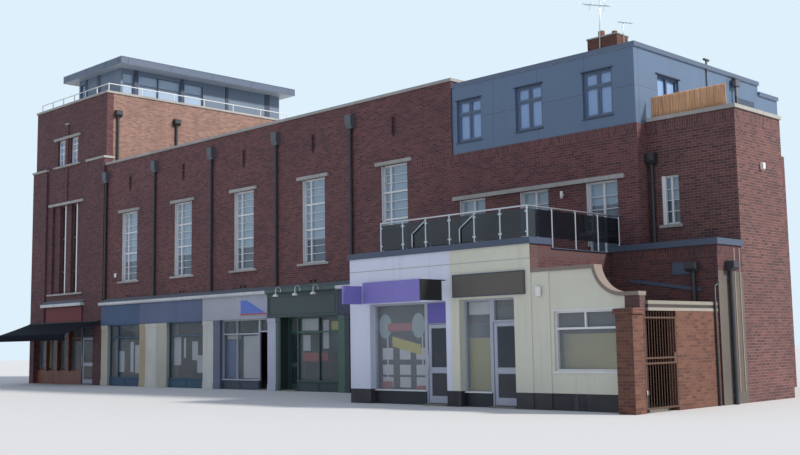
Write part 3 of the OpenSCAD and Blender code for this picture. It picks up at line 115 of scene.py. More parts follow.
fill_strength, backdrop_strength = 0.64, 1.0
sky = bpy.data.worlds.new("open_sky")
bpy.context.scene.world = sky
sky.use_nodes = True
tree = sky.node_tree
tree.nodes.clear()
ray = add(tree, "ShaderNodeLightPath").outputs
seen = math_of(tree, "MAXIMUM", ray["Is Camera Ray"], ray["Is Glossy Ray"])
seen = math_of(tree, "MAXIMUM", seen, ray["Is Transmission Ray"])
fill = add(tree, "ShaderNodeBackground",
           {"Color": colour(226, 236, 255), "Strength": fill_strength})
backdrop = add(tree, "ShaderNodeBackground",
               {"Color": colour(222, 240, 252), "Strength": backdrop_strength})
shown = add(tree, "ShaderNodeMixShader", {0: seen, 1: fill.outputs[0], 2: backdrop.outputs[0]})
tree.links.new(shown.outputs[0], add(tree, "ShaderNodeOutputWorld").inputs[0])

sun_from, sun_strength, sun_spread = Vector((0.80, 0.30, 0.62)), 3.9, math.radians(6)
bpy.ops.object.light_add(type="SUN", location=(30, 30, 40))
sun = bpy.context.object
sun.name = "key_light"
sun.rotation_euler = sun_from.to_track_quat("Z", "Y").to_euler()
sun.data.energy = sun_strength
sun.data.angle = sun_spread
sun.data.color = (1.0, 0.93, 0.84)

# Brickwork. The walls are solid brick of 75 mm courses in weathered dark red, darker and
# browner over the hall and paler on the yard wall, with pale lime joints set back a little.
brick_len, course_h, joint_w = 0.225, 0.075, 0.010
no_soldiers, wash_top, square_on = (90.0, 91.0), 3.3, 0.6


def group_of(name, inputs, outputs):
    tree = bpy.data.node_groups.new(name, "ShaderNodeTree")
    for title, value in inputs:
        kind = "NodeSocketColor" if isinstance(value, tuple) else "NodeSocketFloat"
        socket = tree.interface.new_socket(title, in_out="INPUT", socket_type=kind)
        socket.default_value = value
    for title in outputs:
        kind = "NodeSocketColor" if title == "Color" else "NodeSocketFloat"
        tree.interface.new_socket(title, in_out="OUTPUT", socket_type=kind)
    return tree, tree.nodes.new("NodeGroupInput").outputs, tree.nodes.new("NodeGroupOutput").inputs


def times(tree, a, b):
    return math_of(tree, "MULTIPLY", a, b)


def past(tree, value, edge):
    return math_of(tree, "GREATER_THAN", value, edge)


def short_of(tree, value, edge):
    return math_of(tree, "LESS_THAN", value, edge)


def between(tree, value, low, high):
    return times(tree, past(tree, value, low), short_of(tree, value, high))


def shade(value):
    # Three numbers are a colour as it looks on a screen, and anything else is left as it is
    return colour(*value) if isinstance(value, tuple) and len(value) == 3 else value


def mix_of(tree, factor, a, b):
    return add(tree, "ShaderNodeMix", {0: factor, 6: shade(a), 7: shade(b)},
               data_type="RGBA", blend_type="MIX").outputs[2]


def band_of(tree, value, low, high, bottom=0.0, top=1.0):
    ends = {0: value, 1: low, 2: high, 3: bottom, 4: top}
    return add(tree, "ShaderNodeMapRange", ends).outputs[0]


def point_of(tree):
    return add(tree, "ShaderNodeTexCoord").outputs["Object"]


def place_of(tree):
    return add(tree, "ShaderNodeSeparateXYZ", {0: point_of(tree)}).outputs


def facing_of(tree):
    normal = add(tree, "ShaderNodeNewGeometry").outputs["Normal"]
    return add(tree, "ShaderNodeSeparateXYZ", {0: normal}).outputs


def noise_of(tree, vector, scale, detail=2.0, **more):
    return add(tree, "ShaderNodeTexNoise",
               {"Vector": vector, "Scale": scale, "Detail": detail, **more}).outputs[0]


def wall_run(tree):
    # How far along its wall a point lies, whichever way the wall faces, and what is level
    place = place_of(tree)
    normal = add(tree, "ShaderNodeNewGeometry").outputs["Normal"]
    facing = add(tree, "ShaderNodeVectorMath", {0: normal}, operation="ABSOLUTE").outputs[0]
    facing = add(tree, "ShaderNodeSeparateXYZ", {0: facing}).outputs
    sideways = past(tree, facing[0], square_on)
    along = times(tree, math_of(tree, "SUBTRACT", place[1], place[0]), sideways)
    return place, math_of(tree, "ADD", along, place[0]), past(tree, facing[2], square_on)


courses, given, made = group_of("brick_courses", [
    ("Dark", colour(70, 44, 42)), ("Light", colour(150, 84, 66)), ("Mortar", colour(150, 140, 130)),
    ("Soldier From", no_soldiers[0]), ("Soldier To", no_soldiers[1])], ["Color", "Height"])
place, along, flat = wall_run(courses)
rise = times(courses, math_of(courses, "SUBTRACT", place[1], place[2]), flat)
rise = math_of(courses, "ADD", rise, place[2])
lying = add(courses, "ShaderNodeCombineXYZ", {0: along, 1: rise})
standing = add(courses, "ShaderNodeCombineXYZ", {0: rise, 1: along})
on_end = between(courses, place[2], given["Soldier From"], given["Soldier To"])
turned = add(courses, "ShaderNodeMix", {0: on_end, 4: lying.outputs[0], 5: standing.outputs[0]},
             data_type="VECTOR")
bond = add(courses, "ShaderNodeTexBrick", {
    "Vector": turned.outputs[1], "Color1": given["Dark"], "Color2": given["Light"],
    "Mortar": given["Mortar"], "Scale": 1.0, "Mortar Size": joint_w / 2, "Mortar Smooth": 0.15,
    "Brick Width": brick_len, "Row Height": course_h}, offset=0.5, offset_frequency=2, squash=1.0)
burnt_share = band_of(courses, noise_of(courses, point_of(courses), 9.0), 0.62, 0.72, 0.0, 0.35)
burnt = mix_of(courses, burnt_share, bond.outputs[0], (52, 38, 40))
courses.links.new(burnt, made["Color"])
pitted = times(courses, noise_of(courses, point_of(courses), 90.0, 3.0), 0.25)
relief = math_of(courses, "SUBTRACT", 1.0, bond.outputs["Fac"])
courses.links.new(math_of(courses, "ADD", relief, pitted), made["Height"])

wear, given, made = group_of("surface_wear", [
    ("Color", (0.5, 0.5, 0.5, 1)), ("Dirt", (0.05, 0.05, 0.05, 1)), ("Patches", 0.3),
    ("Streaks", 0.3), ("Grain", 0.1), ("Grain Scale", 60.0)], ["Color", "Height", "Mask"])
spot = point_of(wear)
cloudy = noise_of(wear, spot, 0.55, 5.0, Roughness=0.6)
rain = add(wear, "ShaderNodeMapping", {"Vector": spot, "Scale": (5.0, 5.0, 0.25)}).outputs[0]
rain = noise_of(wear, rain, 1.0, 3.0)
fine = noise_of(wear, spot, given["Grain Scale"], 4.0)
patch = times(wear, band_of(wear, cloudy, 0.42, 0.72), given["Patches"])
streak = times(wear, band_of(wear, rain, 0.5, 0.78), given["Streaks"])
dirty = math_of(wear, "MAXIMUM", patch, streak, clamp=True)
stained = mix_of(wear, dirty, given["Color"], given["Dirt"])
grainy = band_of(wear, fine, 0.3, 0.7)
stained = mix_of(wear, times(wear, given["Grain"], grainy), stained, given["Dirt"])
for title, value in (("Color", stained), ("Height", grainy), ("Mask", dirty)):
    wear.links.new(value, made[title])


def new_material(name):
    material = bpy.data.materials.new(name)
    material.use_nodes = True
    tree = material.node_tree
    tree.nodes.clear()
    shader = add(tree, "ShaderNodeBsdfPrincipled")
    tree.links.new(shader.outputs[0], add(tree, "ShaderNodeOutputMaterial").inputs[0])
    return material, tree, shader


def worn(tree, shader, base, dirt=(60, 58, 56), patches=0.25, streaks=0.2, grain=0.15,
         grain_scale=60.0, rough=0.7, rough_dirty=0.9, bump=0.15, depth=0.002, height=None):
    # A coat of colour with cloudy dirt, rain streaks and a fine grain
    coat = add(tree, "ShaderNodeGroup", {
        "Color": shade(base), "Dirt": shade(dirt), "Patches": patches, "Streaks": streaks,
        "Grain": grain, "Grain Scale": grain_scale}, node_tree=wear).outputs
    tree.links.new(coat["Color"], shader.inputs["Base Color"])
    gloss = band_of(tree, coat["Mask"], 0.0, 1.0, rough, rough_dirty)
    tree.links.new(gloss, shader.inputs["Roughness"])
    raised = add(tree, "ShaderNodeBump", {"Height": height or coat["Height"], "Strength": bump,
                                          "Distance": depth})
    tree.links.new(raised.outputs[0], shader.inputs["Normal"])


def finish(name, base, **weather):
    # The base is one colour, or a function that mixes colours in the material's own tree
    material, tree, shader = new_material(name)
    worn(tree, shader, base(tree) if callable(base) else base, **weather)
    return material


def cover(material, *names):
    # A CAD node keeps its shape and gets its finish
    for name in names:
        mesh = nodes[name].data
        mesh.materials.clear()
        mesh.materials.append(material)


def bricks_of(tree, dark, light, mortar, soldiers=no_soldiers):
    return add(tree, "ShaderNodeGroup", {
        "Dark": shade(dark), "Light": shade(light), "Mortar": shade(mortar),
        "Soldier From": soldiers[0], "Soldier To": soldiers[1]}, node_tree=courses).outputs


def brickwork(name, dark, light, mortar, soldiers=no_soldiers, flank=None, **weather):
    material, tree, shader = new_material(name)
    laid = bricks_of(tree, dark, light, mortar, soldiers)
    tone = laid["Color"]
    if flank:
        # Right-hand faces are washed grey up to a height
        washed = times(tree, past(tree, facing_of(tree)[0], square_on),
                       short_of(tree, place_of(tree)[2], wash_top))
        tone = mix_of(tree, washed, tone, flank)
    worn(tree, shader, tone, rough=0.85, rough_dirty=0.95, bump=0.7, depth=0.006,
         height=laid["Height"], **weather)
    return material


cover(brickwork("hall_brick", (80, 49, 53), (118, 72, 73), (136, 114, 110), (7.26, 7.55),
                dirt=(64, 50, 56), patches=0.35, streaks=0.25),
      "main_front_wall", "main_back_wall", "main_cross_walls")
tower_brick = brickwork("tower_brick", (78, 49, 54), (110, 70, 72), (110, 92, 92),
                        dirt=(58, 46, 52), patches=0.3, streaks=0.3)
cover(tower_brick, "tower_front_wall", "tower_back_wall", "tower_shoulders")
# The tower's side walls get a paler copy of the tower brick, with sunlight painted into it.
cover(brickwork("painted_sunlight_brick", (128, 96, 88), (160, 126, 114), (164, 148, 138),
                dirt=(104, 80, 76), patches=0.3, streaks=0.25), "tower_side_walls")
cover(brickwork("stair_brick", (74, 48, 50), (114, 74, 72), (142, 120, 114), (7.27, 7.6),
                dirt=(66, 52, 56), patches=0.4, streaks=0.25), "stair_block_walls")
cover(brickwork("yard_brick", (80, 45, 38), (114, 72, 58), (114, 94, 80),
                dirt=(92, 70, 62), patches=0.35, streaks=0.25), "yard_walls", "chimney")
cover(brickwork("low_brick", (64, 38, 42), (98, 54, 56), (106, 88, 88), (3.68, 3.96),
                flank=(104, 98, 92), dirt=(48, 40, 44), patches=0.4),
      "low_block_walls", "extension_side_walls")

# Stonework. Copings, lintels, sills and the long band over the terrace doors are cast stone,
# bedded on the brick in lengths of about 0.9 m, grey-beige with dark lichen and rain streaks.
joints, given, made = group_of("sheet_joints", [
    ("Start Along", 0.0), ("Pitch Along", 0.9), ("Start Up", 0.0), ("Pitch Up", 40.0),
    ("Half Width", 0.005)], ["Mask"])
place, along = wall_run(joints)[:2]
lines = []
for value, way in ((along, "Along"), (place[2], "Up")):
    half_pitch = times(joints, given["Pitch " + way], 0.5)
    step = math_of(joints, "SUBTRACT", value, given["Start " + way])
    step = math_of(joints, "PINGPONG", step, half_pitch)
    lines.append(short_of(joints, step, given["Half Width"]))
joints.links.new(math_of(joints, "MAXIMUM", lines[0], lines[1]), made["Mask"])


def jointed(name, base, dirt, along=(0.0, 0.9), up=(0.0, 60.0), half=0.005, dark=0.55, **weather):
    # Lengths or sheets with narrow joints at set places, in metres along the wall and up it
    material, tree, shader = new_material(name)
    mask = add(tree, "ShaderNodeGroup", {
        "Start Along": along[0] + corner.x, "Pitch Along": along[1], "Start Up": up[0],
        "Pitch Up": up[1], "Half Width": half}, node_tree=joints).outputs[0]
    deep = tuple(c * dark for c in colour(*base)[:3]) + (1.0,)
    worn(tree, shader, mix_of(tree, mask, base, deep), dirt=dirt, bump=0.4, depth=0.004,
         height=math_of(tree, "SUBTRACT", 1.0, mask), **weather)
    return material


cast_stone = jointed("cast_stone", (178, 178, 175), (108, 104, 98), half=0.006, patches=0.45,
                     streaks=0.45, grain=0.3, grain_scale=45.0, rough=0.85)
cover(cast_stone, "copings", "lintels_and_sills")

# Flat roofs and floors. The roofs are decked and covered with felt that has a mineral finish.
# The floors are cast concrete, and their outer edges are painted the red-brown of the brick.
cover(finish("roof_felt", (112, 114, 116), dirt=(74, 74, 72), patches=0.5, streaks=0.0, grain=0.4,
             grain_scale=220.0, rough=0.9, bump=0.5, depth=0.003), "roof_slabs")
bare_concrete = (132, 128, 122)


def slab_tones(tree):
    edge_on = short_of(tree, math_of(tree, "ABSOLUTE", facing_of(tree)[2]), 0.5)
    return mix_of(tree, edge_on, bare_concrete, (86, 58, 62))


cover(finish("floor_concrete", bare_concrete, dirt=(84, 80, 76), patches=0.4, streaks=0.0,
             grain=0.3, grain_scale=30.0, rough=0.85, bump=0.3), "ground_floor")
cover(finish("painted_slab_edge", slab_tones, dirt=(70, 60, 60), patches=0.4, streaks=0.1,
             grain=0.3, grain_scale=30.0, rough=0.85, bump=0.3), "floor_slabs")

# Upper windows. White painted timber frames with thin glazing bars between small panes, and
# old glass tinted pale sky blue as a painted reflection of the sky, with cloth blinds behind some
# of it. The tower's lower tall lights have frames and glass painted dark red-brown as shade.
frame_tone, stair_shade_tone = (226, 228, 230), (84, 62, 64)
tower_right, stair_top, front_depth = -28.3, 9.0, 1.0
satin = dict(dirt=(156, 154, 148), patches=0.18, streaks=0.2, grain=0.05, grain_scale=80.0,
             rough=0.45, rough_dirty=0.7, bump=0.08)
white_paint = finish("white_paint", frame_tone, **satin)
cover(white_paint, "tower_rail")


def stair_shade_lights(tree):
    # The tower's tall lights below the stair's top, whose frames and glass get painted shade of the
    # dark stair behind them
    place = place_of(tree)
    lower = short_of(tree, place[2], stair_top)
    return times(tree, short_of(tree, place[0], corner.x + tower_right), lower), place


# White frames, except those of the tower's lower tall lights, which are painted dark as shade
def frame_tones(tree):
    mask, place = stair_shade_lights(tree)
    mask = times(tree, mask, short_of(tree, place[1], corner.y + front_depth))
    return mix_of(tree, mask, frame_tone, stair_shade_tone)


cover(finish("frame_white", frame_tones, **satin), "upper_window_frames")


def glazing(name, tint, through, gloss, levels=(), axis=2, alpha=1.0):
    # Slightly uneven panes. Each level is a height, or a place along the wall, and the tint past it
    material, tree, shader = new_material(name)
    for title, value in (("Transmission Weight", through), ("IOR", 1.5), ("Alpha", alpha)):
        shader.inputs[title].default_value = value
    spot = point_of(tree)
    smear = noise_of(tree, spot, 1.3, 3.0)
    uneven = band_of(tree, smear, 0.3, 0.8, gloss, gloss + 0.08)
    tree.links.new(uneven, shader.inputs["Roughness"])
    tone = mix_of(tree, band_of(tree, smear, 0.35, 0.7), tint, tuple(int(c * 0.86) for c in tint))
    for level, other in levels:
        reach = add(tree, "ShaderNodeSeparateXYZ", {0: spot}).outputs[axis]
        tone = mix_of(tree, past(tree, reach, level), tone, other)
    tree.links.new(tone, shader.inputs["Base Color"])
    return material


# The pale blue tints, which change with height, are a painted reflection of the sky in the glass.
old_glass = glazing("old_glass", (118, 136, 152), 0.3, 0.02,
                    ((5.4, (172, 196, 214)), (7.8, (160, 194, 238)), (13.0, (190, 215, 240))))
tree = old_glass.node_tree
pane_tone = tree.nodes["Principled BSDF"].inputs["Base Color"]
sky_reflection_tone = pane_tone.links[0].from_socket
# The glass of the tower's lower tall lights is painted dark as the shade of the stair behind it.
tree.links.new(mix_of(tree, stair_shade_lights(tree)[0], sky_reflection_tone, (60, 46, 54)), pane_tone)
cover(old_glass, "upper_glass")
# The pale grey tints, paler on the extension's windows, are a painted reflection of the sky.
cover(glazing("shop_glass", (148, 156, 160), 0.0, 0.01, ((corner.x - 7.3, (172, 178, 184)),),
              axis=0, alpha=0.26), "ground_glass")


def deselect():
    bpy.ops.object.select_all(action="DESELECT")


def ease(edge):
    # The piece just added gets its edges eased
    bpy.ops.object.mode_set(mode="EDIT")
    bpy.ops.mesh.select_all(action="SELECT")
    bpy.ops.mesh.bevel(offset=edge, segments=1, affect="EDGES")
    bpy.ops.object.mode_set(mode="OBJECT")


def block(low, high, edge=0.003):
    # A squared piece between two corners, with its edges eased
    low, high = at(*low), at(*high)
    deselect()
    bpy.ops.mesh.primitive_cube_add(size=1, location=(low + high) / 2)
    piece = bpy.context.object
    piece.scale = high - low
    bpy.ops.object.transform_apply(location=True, rotation=False, scale=True)
    if edge:
        ease(edge)
    return piece


def shifted(piece, x=0.0, y=0.0):
    copy = piece.copy()
    copy.data = piece.data.copy()
    copy.data.transform(Matrix.Translation((x, y, 0)))
    bpy.context.collection.objects.link(copy)
    return copy


def join(parts):
    deselect()
    for part in parts:
        part.select_set(True)
    bpy.context.view_layer.objects.active = parts[0]
    if len(parts) > 1:
        bpy.ops.object.join()
    return bpy.context.object


def assemble(name, parts, material, body="building"):
    # Like pieces become one mesh that rides on its body
    piece = join(parts)
    piece.name = name
    piece.data.name = name
    piece.data.materials.clear()
    piece.data.materials.append(material)
    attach(piece, body)
    return piece


def repeated(first, label, steps):
    # The same piece again, each copy with its own mesh, at set steps along the wall
    for number, step in enumerate(steps, 2):
        copy = shifted(first, x=step)
        copy.name = "%s_%d" % (label, number)
        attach(copy, "building")


def ring(x0, x1, z0, z1, y0, y1, width, edge=0.003):
    # Four members round an upright opening
    return [block((x0, y0, z0), (x0 + width, y1, z1), edge),
            block((x1 - width, y0, z0), (x1, y1, z1), edge),
            block((x0 + width, y0, z0), (x1 - width, y1, z0 + width), edge),
            block((x0 + width, y0, z1 - width), (x1 - width, y1, z1), edge)]


tall_x = [-(9.51 + 4.17 * i) for i in range(5)]
tall_w, tall_sill, tall_head, lining_t = 1.23, 4.56, 7.59, 0.018
terrace_doors_x, door_sill, door_head = (-6.58, -4.15, -1.75), 4.25, 6.05
reveal, bar_w, bar_edge = 0.11, 0.022, 0.002
bar_y = (reveal + 0.012, reveal + 0.066)
hall_back_y, stair_y = 8.8, 0.5


def pane_bars(x0, x1, z0, z1, rows, y=bar_y):
    # Level bars that part a light into equal rows of panes
    levels = [z0 + (z1 - z0) * r / rows for r in range(1, rows)]
    return [block((x0, y[0], z - bar_w / 2), (x1, y[1], z + bar_w / 2), bar_edge) for z in levels]


bars = []
for left, right in ((0.06, 0.321), (0.381, 1.17)):
    x = tall_x[0] - tall_w / 2
    for low, high, rows in ((4.61, 5.74, 4), (5.80, 6.655, 3), (6.715, 7.54, 3)):
        bars += pane_bars(x + left, x + right, low, high, rows)
first = assemble("glazing_bars_1", bars, white_paint)
repeated(first, "glazing_bars", [x - tall_x[0] for x in tall_x[1:]])
back_bars = [shifted(first, x - tall_x[0], hall_back_y - bar_y[0] - bar_y[1]) for x in tall_x]
assemble("glazing_bars_back", back_bars, white_paint)

bars = []
for x in terrace_doors_x:
    for left, right in ((0.06, 0.495), (0.555, 0.99)):
        bars += pane_bars(x + left, x + right, 4.545, 6.0, 4)
for left, right in ((0.44, 0.62), (0.68, 0.86)):
    bars += pane_bars(left, right, 4.76, 5.99, 4, (stair_y + bar_y[0], stair_y + bar_y[1]))
bars.append(block((0.382, stair_y + 0.03, 4.70), (0.50, stair_y + reveal, 6.048)))
assemble("door_and_stair_bars", bars, white_paint)
jambs = [(x - tall_w / 2, tall_sill, tall_head) for x in tall_x]
jambs += [(x, door_sill, door_head) for x in terrace_doors_x]
linings = [block((x, 0.004, low), (x + lining_t, reveal, high), bar_edge) for x, low, high in jambs]
assemble("jamb_linings", linings, white_paint)

blind_cloth, tree, shader = new_material("blind_cloth")
slats = add(tree, "ShaderNodeTexWave", {"Vector": point_of(tree), "Scale": 3.2},
            bands_direction="X")
worn(tree, shader, (196, 202, 204), dirt=(140, 146, 150), patches=0.2, streaks=0.2, grain=0.1,
     grain_scale=150.0, rough=0.9, bump=0.3, depth=0.01, height=slats.outputs["Fac"])
blinds = [block((tall_x[i] - 0.56, 0.26, low), (tall_x[i] + 0.56, 0.275, high), 0.002)
          for i, low, high in ((0, 5.0, 7.55), (1, 6.7, 7.55), (1, 5.0, 5.8), (2, 5.2, 7.55))]
assemble("window_blinds", blinds, blind_cloth)

# Sunk panels and air bricks of the hall front. A raised brick header crosses the top of each sunk
# panel, between flanks of darker brick, and pairs of cast grilles sit just over the cornice,
# painted near black as the shade in their openings.
panel_half, flank_w, vent_w, vent_low = 0.115, 0.045, 0.14, 3.86
headers, grilles = [], []
for x in tall_x:
    headers += [block((x - panel_half, -0.015, 9.20), (x + panel_half, 0.0, 9.275)),
                block((x - panel_half, -0.015, 8.925), (x - 0.056, 0.0, 9.0)),
                block((x + 0.056, -0.015, 8.925), (x + panel_half, 0.0, 9.0))]
    for left in (x - 0.24, x):
        right = left + vent_w
        grilles.append(block((left, -0.003, vent_low), (right, 0.0, vent_low + 0.085), 0.001))
        grilles += [block((left, -0.008, z), (right, -0.002, z + 0.008), 0.001)
                    for z in (3.88, 3.90, 3.92)]
assemble("panel_headers", headers, tower_brick)
# The flanks are laid in a darker brick.
dark_flank_brick = brickwork("dark_flank_brick", (50, 31, 36), (68, 41, 46), (76, 60, 62),
                         dirt=(40, 34, 38), patches=0.3)
flanks = [block((x + left, -0.006, low), (x + left + flank_w, 0.0, high), 0.001)
          for low, high in ((8.63, 8.92), (9.0, 9.2)) for x in tall_x for left in (-0.1, 0.055)]
assemble("panel_flanks", flanks, dark_flank_brick)
# The grilles are near black, painted shade of the openings behind their slats.
vent_shade_black = finish("vent_shade_black", (9, 9, 12), dirt=(24, 22, 24), patches=0.2, grain=0.1,
                    rough=0.9, bump=0.1)
assemble("air_bricks", grilles, vent_shade_black)

# Downpipes. Black cast iron in collared lengths, strapped to the brick, with hopper heads that
# have faded to lead grey. The right-hand side has a tall one, a waste pipe and a roof vent.
hopper_z = (9.1, 9.6)


def iron_tones(tree):
    hoppers = between(tree, place_of(tree)[2], *hopper_z)
    return mix_of(tree, hoppers, (28, 30, 37), (84, 90, 100))


black_iron = finish("black_iron", iron_tones, dirt=(92, 94, 98), streaks=0.3, grain_scale=120.0,
                    rough=0.5, rough_dirty=0.8, bump=0.2)
cover(black_iron, "downpipes", "awning_frame")


def rod(a, b, radius, sides=12):
    # A round bar from point to point, its end edges eased
    a, b = at(*a), at(*b)
    deselect()
    bpy.ops.mesh.primitive_cylinder_add(
        vertices=sides, radius=radius, depth=(b - a).length, location=(a + b) / 2,
        rotation=(b - a).to_track_quat("Z", "Y").to_euler())
    bar = bpy.context.object
    bpy.ops.object.transform_apply(location=True, rotation=True, scale=False)
    bpy.ops.object.mode_set(mode="EDIT")
    bpy.ops.mesh.select_all(action="DESELECT")
    bpy.ops.mesh.edges_select_sharp(sharpness=math.radians(60))
    bpy.ops.mesh.bevel(offset=radius * 0.2, segments=1, affect="EDGES")
    bpy.ops.object.mode_set(mode="OBJECT")
    bpy.ops.object.shade_smooth_by_angle(angle=math.radians(40))
    return bar


extra_pipes = [
    rod((0.075, 5.6, 0.05), (0.075, 5.6, 9.42), 0.05),
    block((0.0, 5.46, 9.40), (0.16, 5.74, 9.66), 0.02),
    rod((2.64, -0.95, 0.0), (2.64, -0.95, 2.9), 0.03),
    rod((2.64, -0.96, 2.9), (2.64, -0.75, 2.99), 0.03),
    rod((-0.02, 4.0, 7.66), (-0.02, 4.0, 9.98), 0.032),
    rod((-0.02, 3.86, 10.0), (-0.02, 4.14, 10.0), 0.04)]
extra_pipes += [block((0.0, 5.53, z), (0.13, 5.67, z + 0.05), 0.004) for z in (1.2, 3.6, 6.0, 8.4)]
assemble("side_pipes", extra_pipes, black_iron)


# Shopfronts. Painted timber piers, fascias, risers and frames, each shop in its own colour,
# under one moulded cornice with dressed lead on top.
teal, slate, navy, bottle = (24, 64, 108), (72, 88, 124), (38, 42, 74), (54, 72, 74)
green_shop, cafe_edge, lead_z, hood_rise = (-16.06, -12.12), -28.5, 3.652, 0.1


def bands(tones, axis=0):
    # Colours that change at set places along the building, or at heights up it
    def tones_of(tree):
        place, tone = place_of(tree), tones[0]
        for edge, other in tones[1:]:
            tone = mix_of(tree, past(tree, place[axis], edge + corner[axis]), tone, other)
        return tone
    return tones_of


pier_paint = finish("pier_paint", bands([
    (190, 188, 170), (-24.89, (176, 160, 130)), (-24.4, (204, 204, 196)), (-23.6, (182, 180, 166)),
    (-20.25, (206, 206, 200)), (-19.5, (96, 104, 128)), (-17, (196, 198, 220)),
    (-15.58, (60, 100, 88)), (-15.42, (44, 62, 60)), (-12.2, (66, 104, 90)), (-11.8, (40, 52, 66)),
    (-7.6, (176, 182, 200))]), dirt=(70, 68, 66), streaks=0.25, grain=0.08, rough=0.5, bump=0.12)
fascia_paint = finish("fascia_paint", bands([
    teal, (-24.885, slate), (-20.205, (176, 178, 190)), (-16.065, bottle), (-12.125, navy)]),
    dirt=(60, 60, 64), patches=0.2, grain=0.06, rough=0.45, bump=0.1)
riser_paint = finish("riser_paint", bands([
    (36, 70, 104), (-22.9, (40, 82, 104)), (-20.0, (60, 66, 82)), (-15.9, (44, 62, 66)),
    (-11.9, navy), (-7.2, (20, 22, 36))]),
    dirt=(48, 46, 46), patches=0.3, streaks=0.15, grain=0.1, rough=0.5)
frame_paint = finish("shop_frame_paint", bands([
    (44, 80, 108), (-20.3, (178, 182, 192)), (-15.9, (50, 88, 78)), (-11.9, (60, 62, 84)),
    (-7.2, (170, 176, 190)), (-0.3, (222, 224, 226))]),
    dirt=(84, 82, 80), patches=0.15, streaks=0.15, grain=0.05, rough=0.4, bump=0.08)


def cornice_tones(tree):
    # White board and grey lead, both greener over the green shop, and a higher lead on the cafe
    place = place_of(tree)
    green_end = between(tree, place[0], corner.x + green_shop[0], corner.x + green_shop[1])
    board = mix_of(tree, green_end, (214, 216, 218), (72, 98, 94))
    lead = mix_of(tree, green_end, (92, 100, 114), (82, 98, 102))
    cafe_hood = short_of(tree, place[0], corner.x + cafe_edge)
    lead_foot = math_of(tree, "ADD", times(tree, cafe_hood, hood_rise), lead_z)
    return mix_of(tree, past(tree, place[2], lead_foot), board, lead)


cover(pier_paint, "shop_piers")
cover(fascia_paint, "shop_fascias")
cover(riser_paint, "stall_risers")
cover(frame_paint, "shop_frames", "door_heads", "door_frames")
cover(finish("cornice_paint", cornice_tones, dirt=(88, 88, 86), patches=0.3, streaks=0.3,
             grain=0.12, rough=0.6, bump=0.2), "shop_cornice")

risers_x = [(-27.51, -24.88), (-22.79, -20.20), (-19.05, -16.71), (-14.48, -12.12), (-11.55, -7.50)]
riser_face, panel_inset = -0.14, 0.05
mouldings = []
for x0, x1 in risers_x:
    columns = 2 if x1 - x0 > 2.2 else 1
    for c in range(columns):
        left = x0 + panel_inset + (x1 - x0 - panel_inset) * c / columns
        right = x0 + (x1 - x0 - panel_inset) * (c + 1) / columns
        mouldings += ring(left, right, 0.05, 0.31, riser_face - 0.012, riser_face, 0.035, 0.004)
assemble("riser_mouldings", mouldings, riser_paint)

sills = [block((x0, riser_face - 0.035, 0.342), (x1, -0.12, 0.372), 0.006) for x0, x1 in risers_x]
assemble("shop_sills", sills, frame_paint)

fascia_face = -0.27
beads = []
for x0, x1 in ((-28.05, -24.89), (-24.88, -20.21), (-20.20, -16.07), (-16.06, -12.13),
               (-12.12, -7.14)):
    for low, high in ((2.64, 2.685), (3.475, 3.515)):
        beads.append(block((x0 + 0.01, fascia_face - 0.012, low), (x1 - 0.01, fascia_face, high),
                           0.004))
beads += ring(-15.95, -12.25, 2.74, 3.42, fascia_face - 0.014, fascia_face, 0.045, 0.005)
assemble("fascia_beads", beads, fascia_paint)

pier_face, block_lap = -0.25, 0.012
feet = []
for x0, w in ((-28.05, 0.54), (-24.88, 2.09), (-20.20, 1.15), (-16.06, 0.76), (-12.12, 0.57)):
    feet += [block((x0 - block_lap, pier_face - 0.018, low), (x0 + w + block_lap, pier_face, high),
                   0.005) for low, high in ((0.0, 0.24), (2.47, 2.635))]
assemble("pier_blocks", feet, pier_paint)

# Three white lamps over the dark green shop. Each has a bent steel arm from the cornice and a
# spun dome with a hollow underside.
lamp_x, lamp_y, arm_z, dome_z, rim_z = (-15.1, -14.0, -13.0), -0.62, 3.62, 3.38, 3.385
arm_r, dome_r, shell_t = 0.115, 0.11, 0.004
lamp_white = finish("lamp_enamel", (232, 232, 228), dirt=(150, 146, 138), patches=0.15,
                    streaks=0.1, grain=0.04, rough=0.3, bump=0.05)


def keep_above(height, fill):
    # The piece just added is placed, and all of it below a height is cut away
    bpy.ops.object.transform_apply(location=True, rotation=True, scale=True)
    bpy.ops.object.mode_set(mode="EDIT")
    bpy.ops.mesh.select_all(action="SELECT")
    bpy.ops.mesh.bisect(plane_co=at(0, 0, height), plane_no=(0, 0, -1), clear_outer=True,
                        use_fill=fill)
    bpy.ops.object.mode_set(mode="OBJECT")
    return bpy.context.object


deselect()
bpy.ops.mesh.primitive_torus_add(
    major_radius=arm_r, minor_radius=0.011, major_segments=32, minor_segments=8,
    location=at(lamp_x[0], -0.505, arm_z), rotation=(0, math.pi / 2, 0))
arm = keep_above(arm_z, True)
arm.data.shade_smooth()
deselect()
bpy.ops.mesh.primitive_uv_sphere_add(segments=20, ring_count=12, radius=dome_r,
                                     location=at(lamp_x[0], lamp_y, dome_z))
dome = keep_above(rim_z, False)
shell = dome.modifiers.new("shell", "SOLIDIFY")
shell.thickness = shell_t
bpy.ops.object.modifier_apply(modifier="shell")
dome.data.shade_smooth()
lamp = [arm, dome, rod((lamp_x[0], lamp_y, 3.48), (lamp_x[0], lamp_y, 3.63), 0.018),
        rod((lamp_x[0], -0.39, 3.56), (lamp_x[0], -0.39, 3.63), 0.02)]
first = assemble("fascia_lamp_1", lamp, lamp_white)
repeated(first, "fascia_lamp", [x - lamp_x[0] for x in lamp_x[1:]])

# Window displays. Plain printed cards, sheets and blinds in flat colours stand just inside the
# shop windows, with no words or pictures.
behind, behind_ext, behind_cafe, card_t = 0.0, -3.86, 0.18, 0.006


def card(name, tone):
    return finish(name, tone, dirt=(120, 118, 112), patches=0.12, streaks=0.1, grain=0.08,
                  grain_scale=12.0, rough=0.55, bump=0.04)


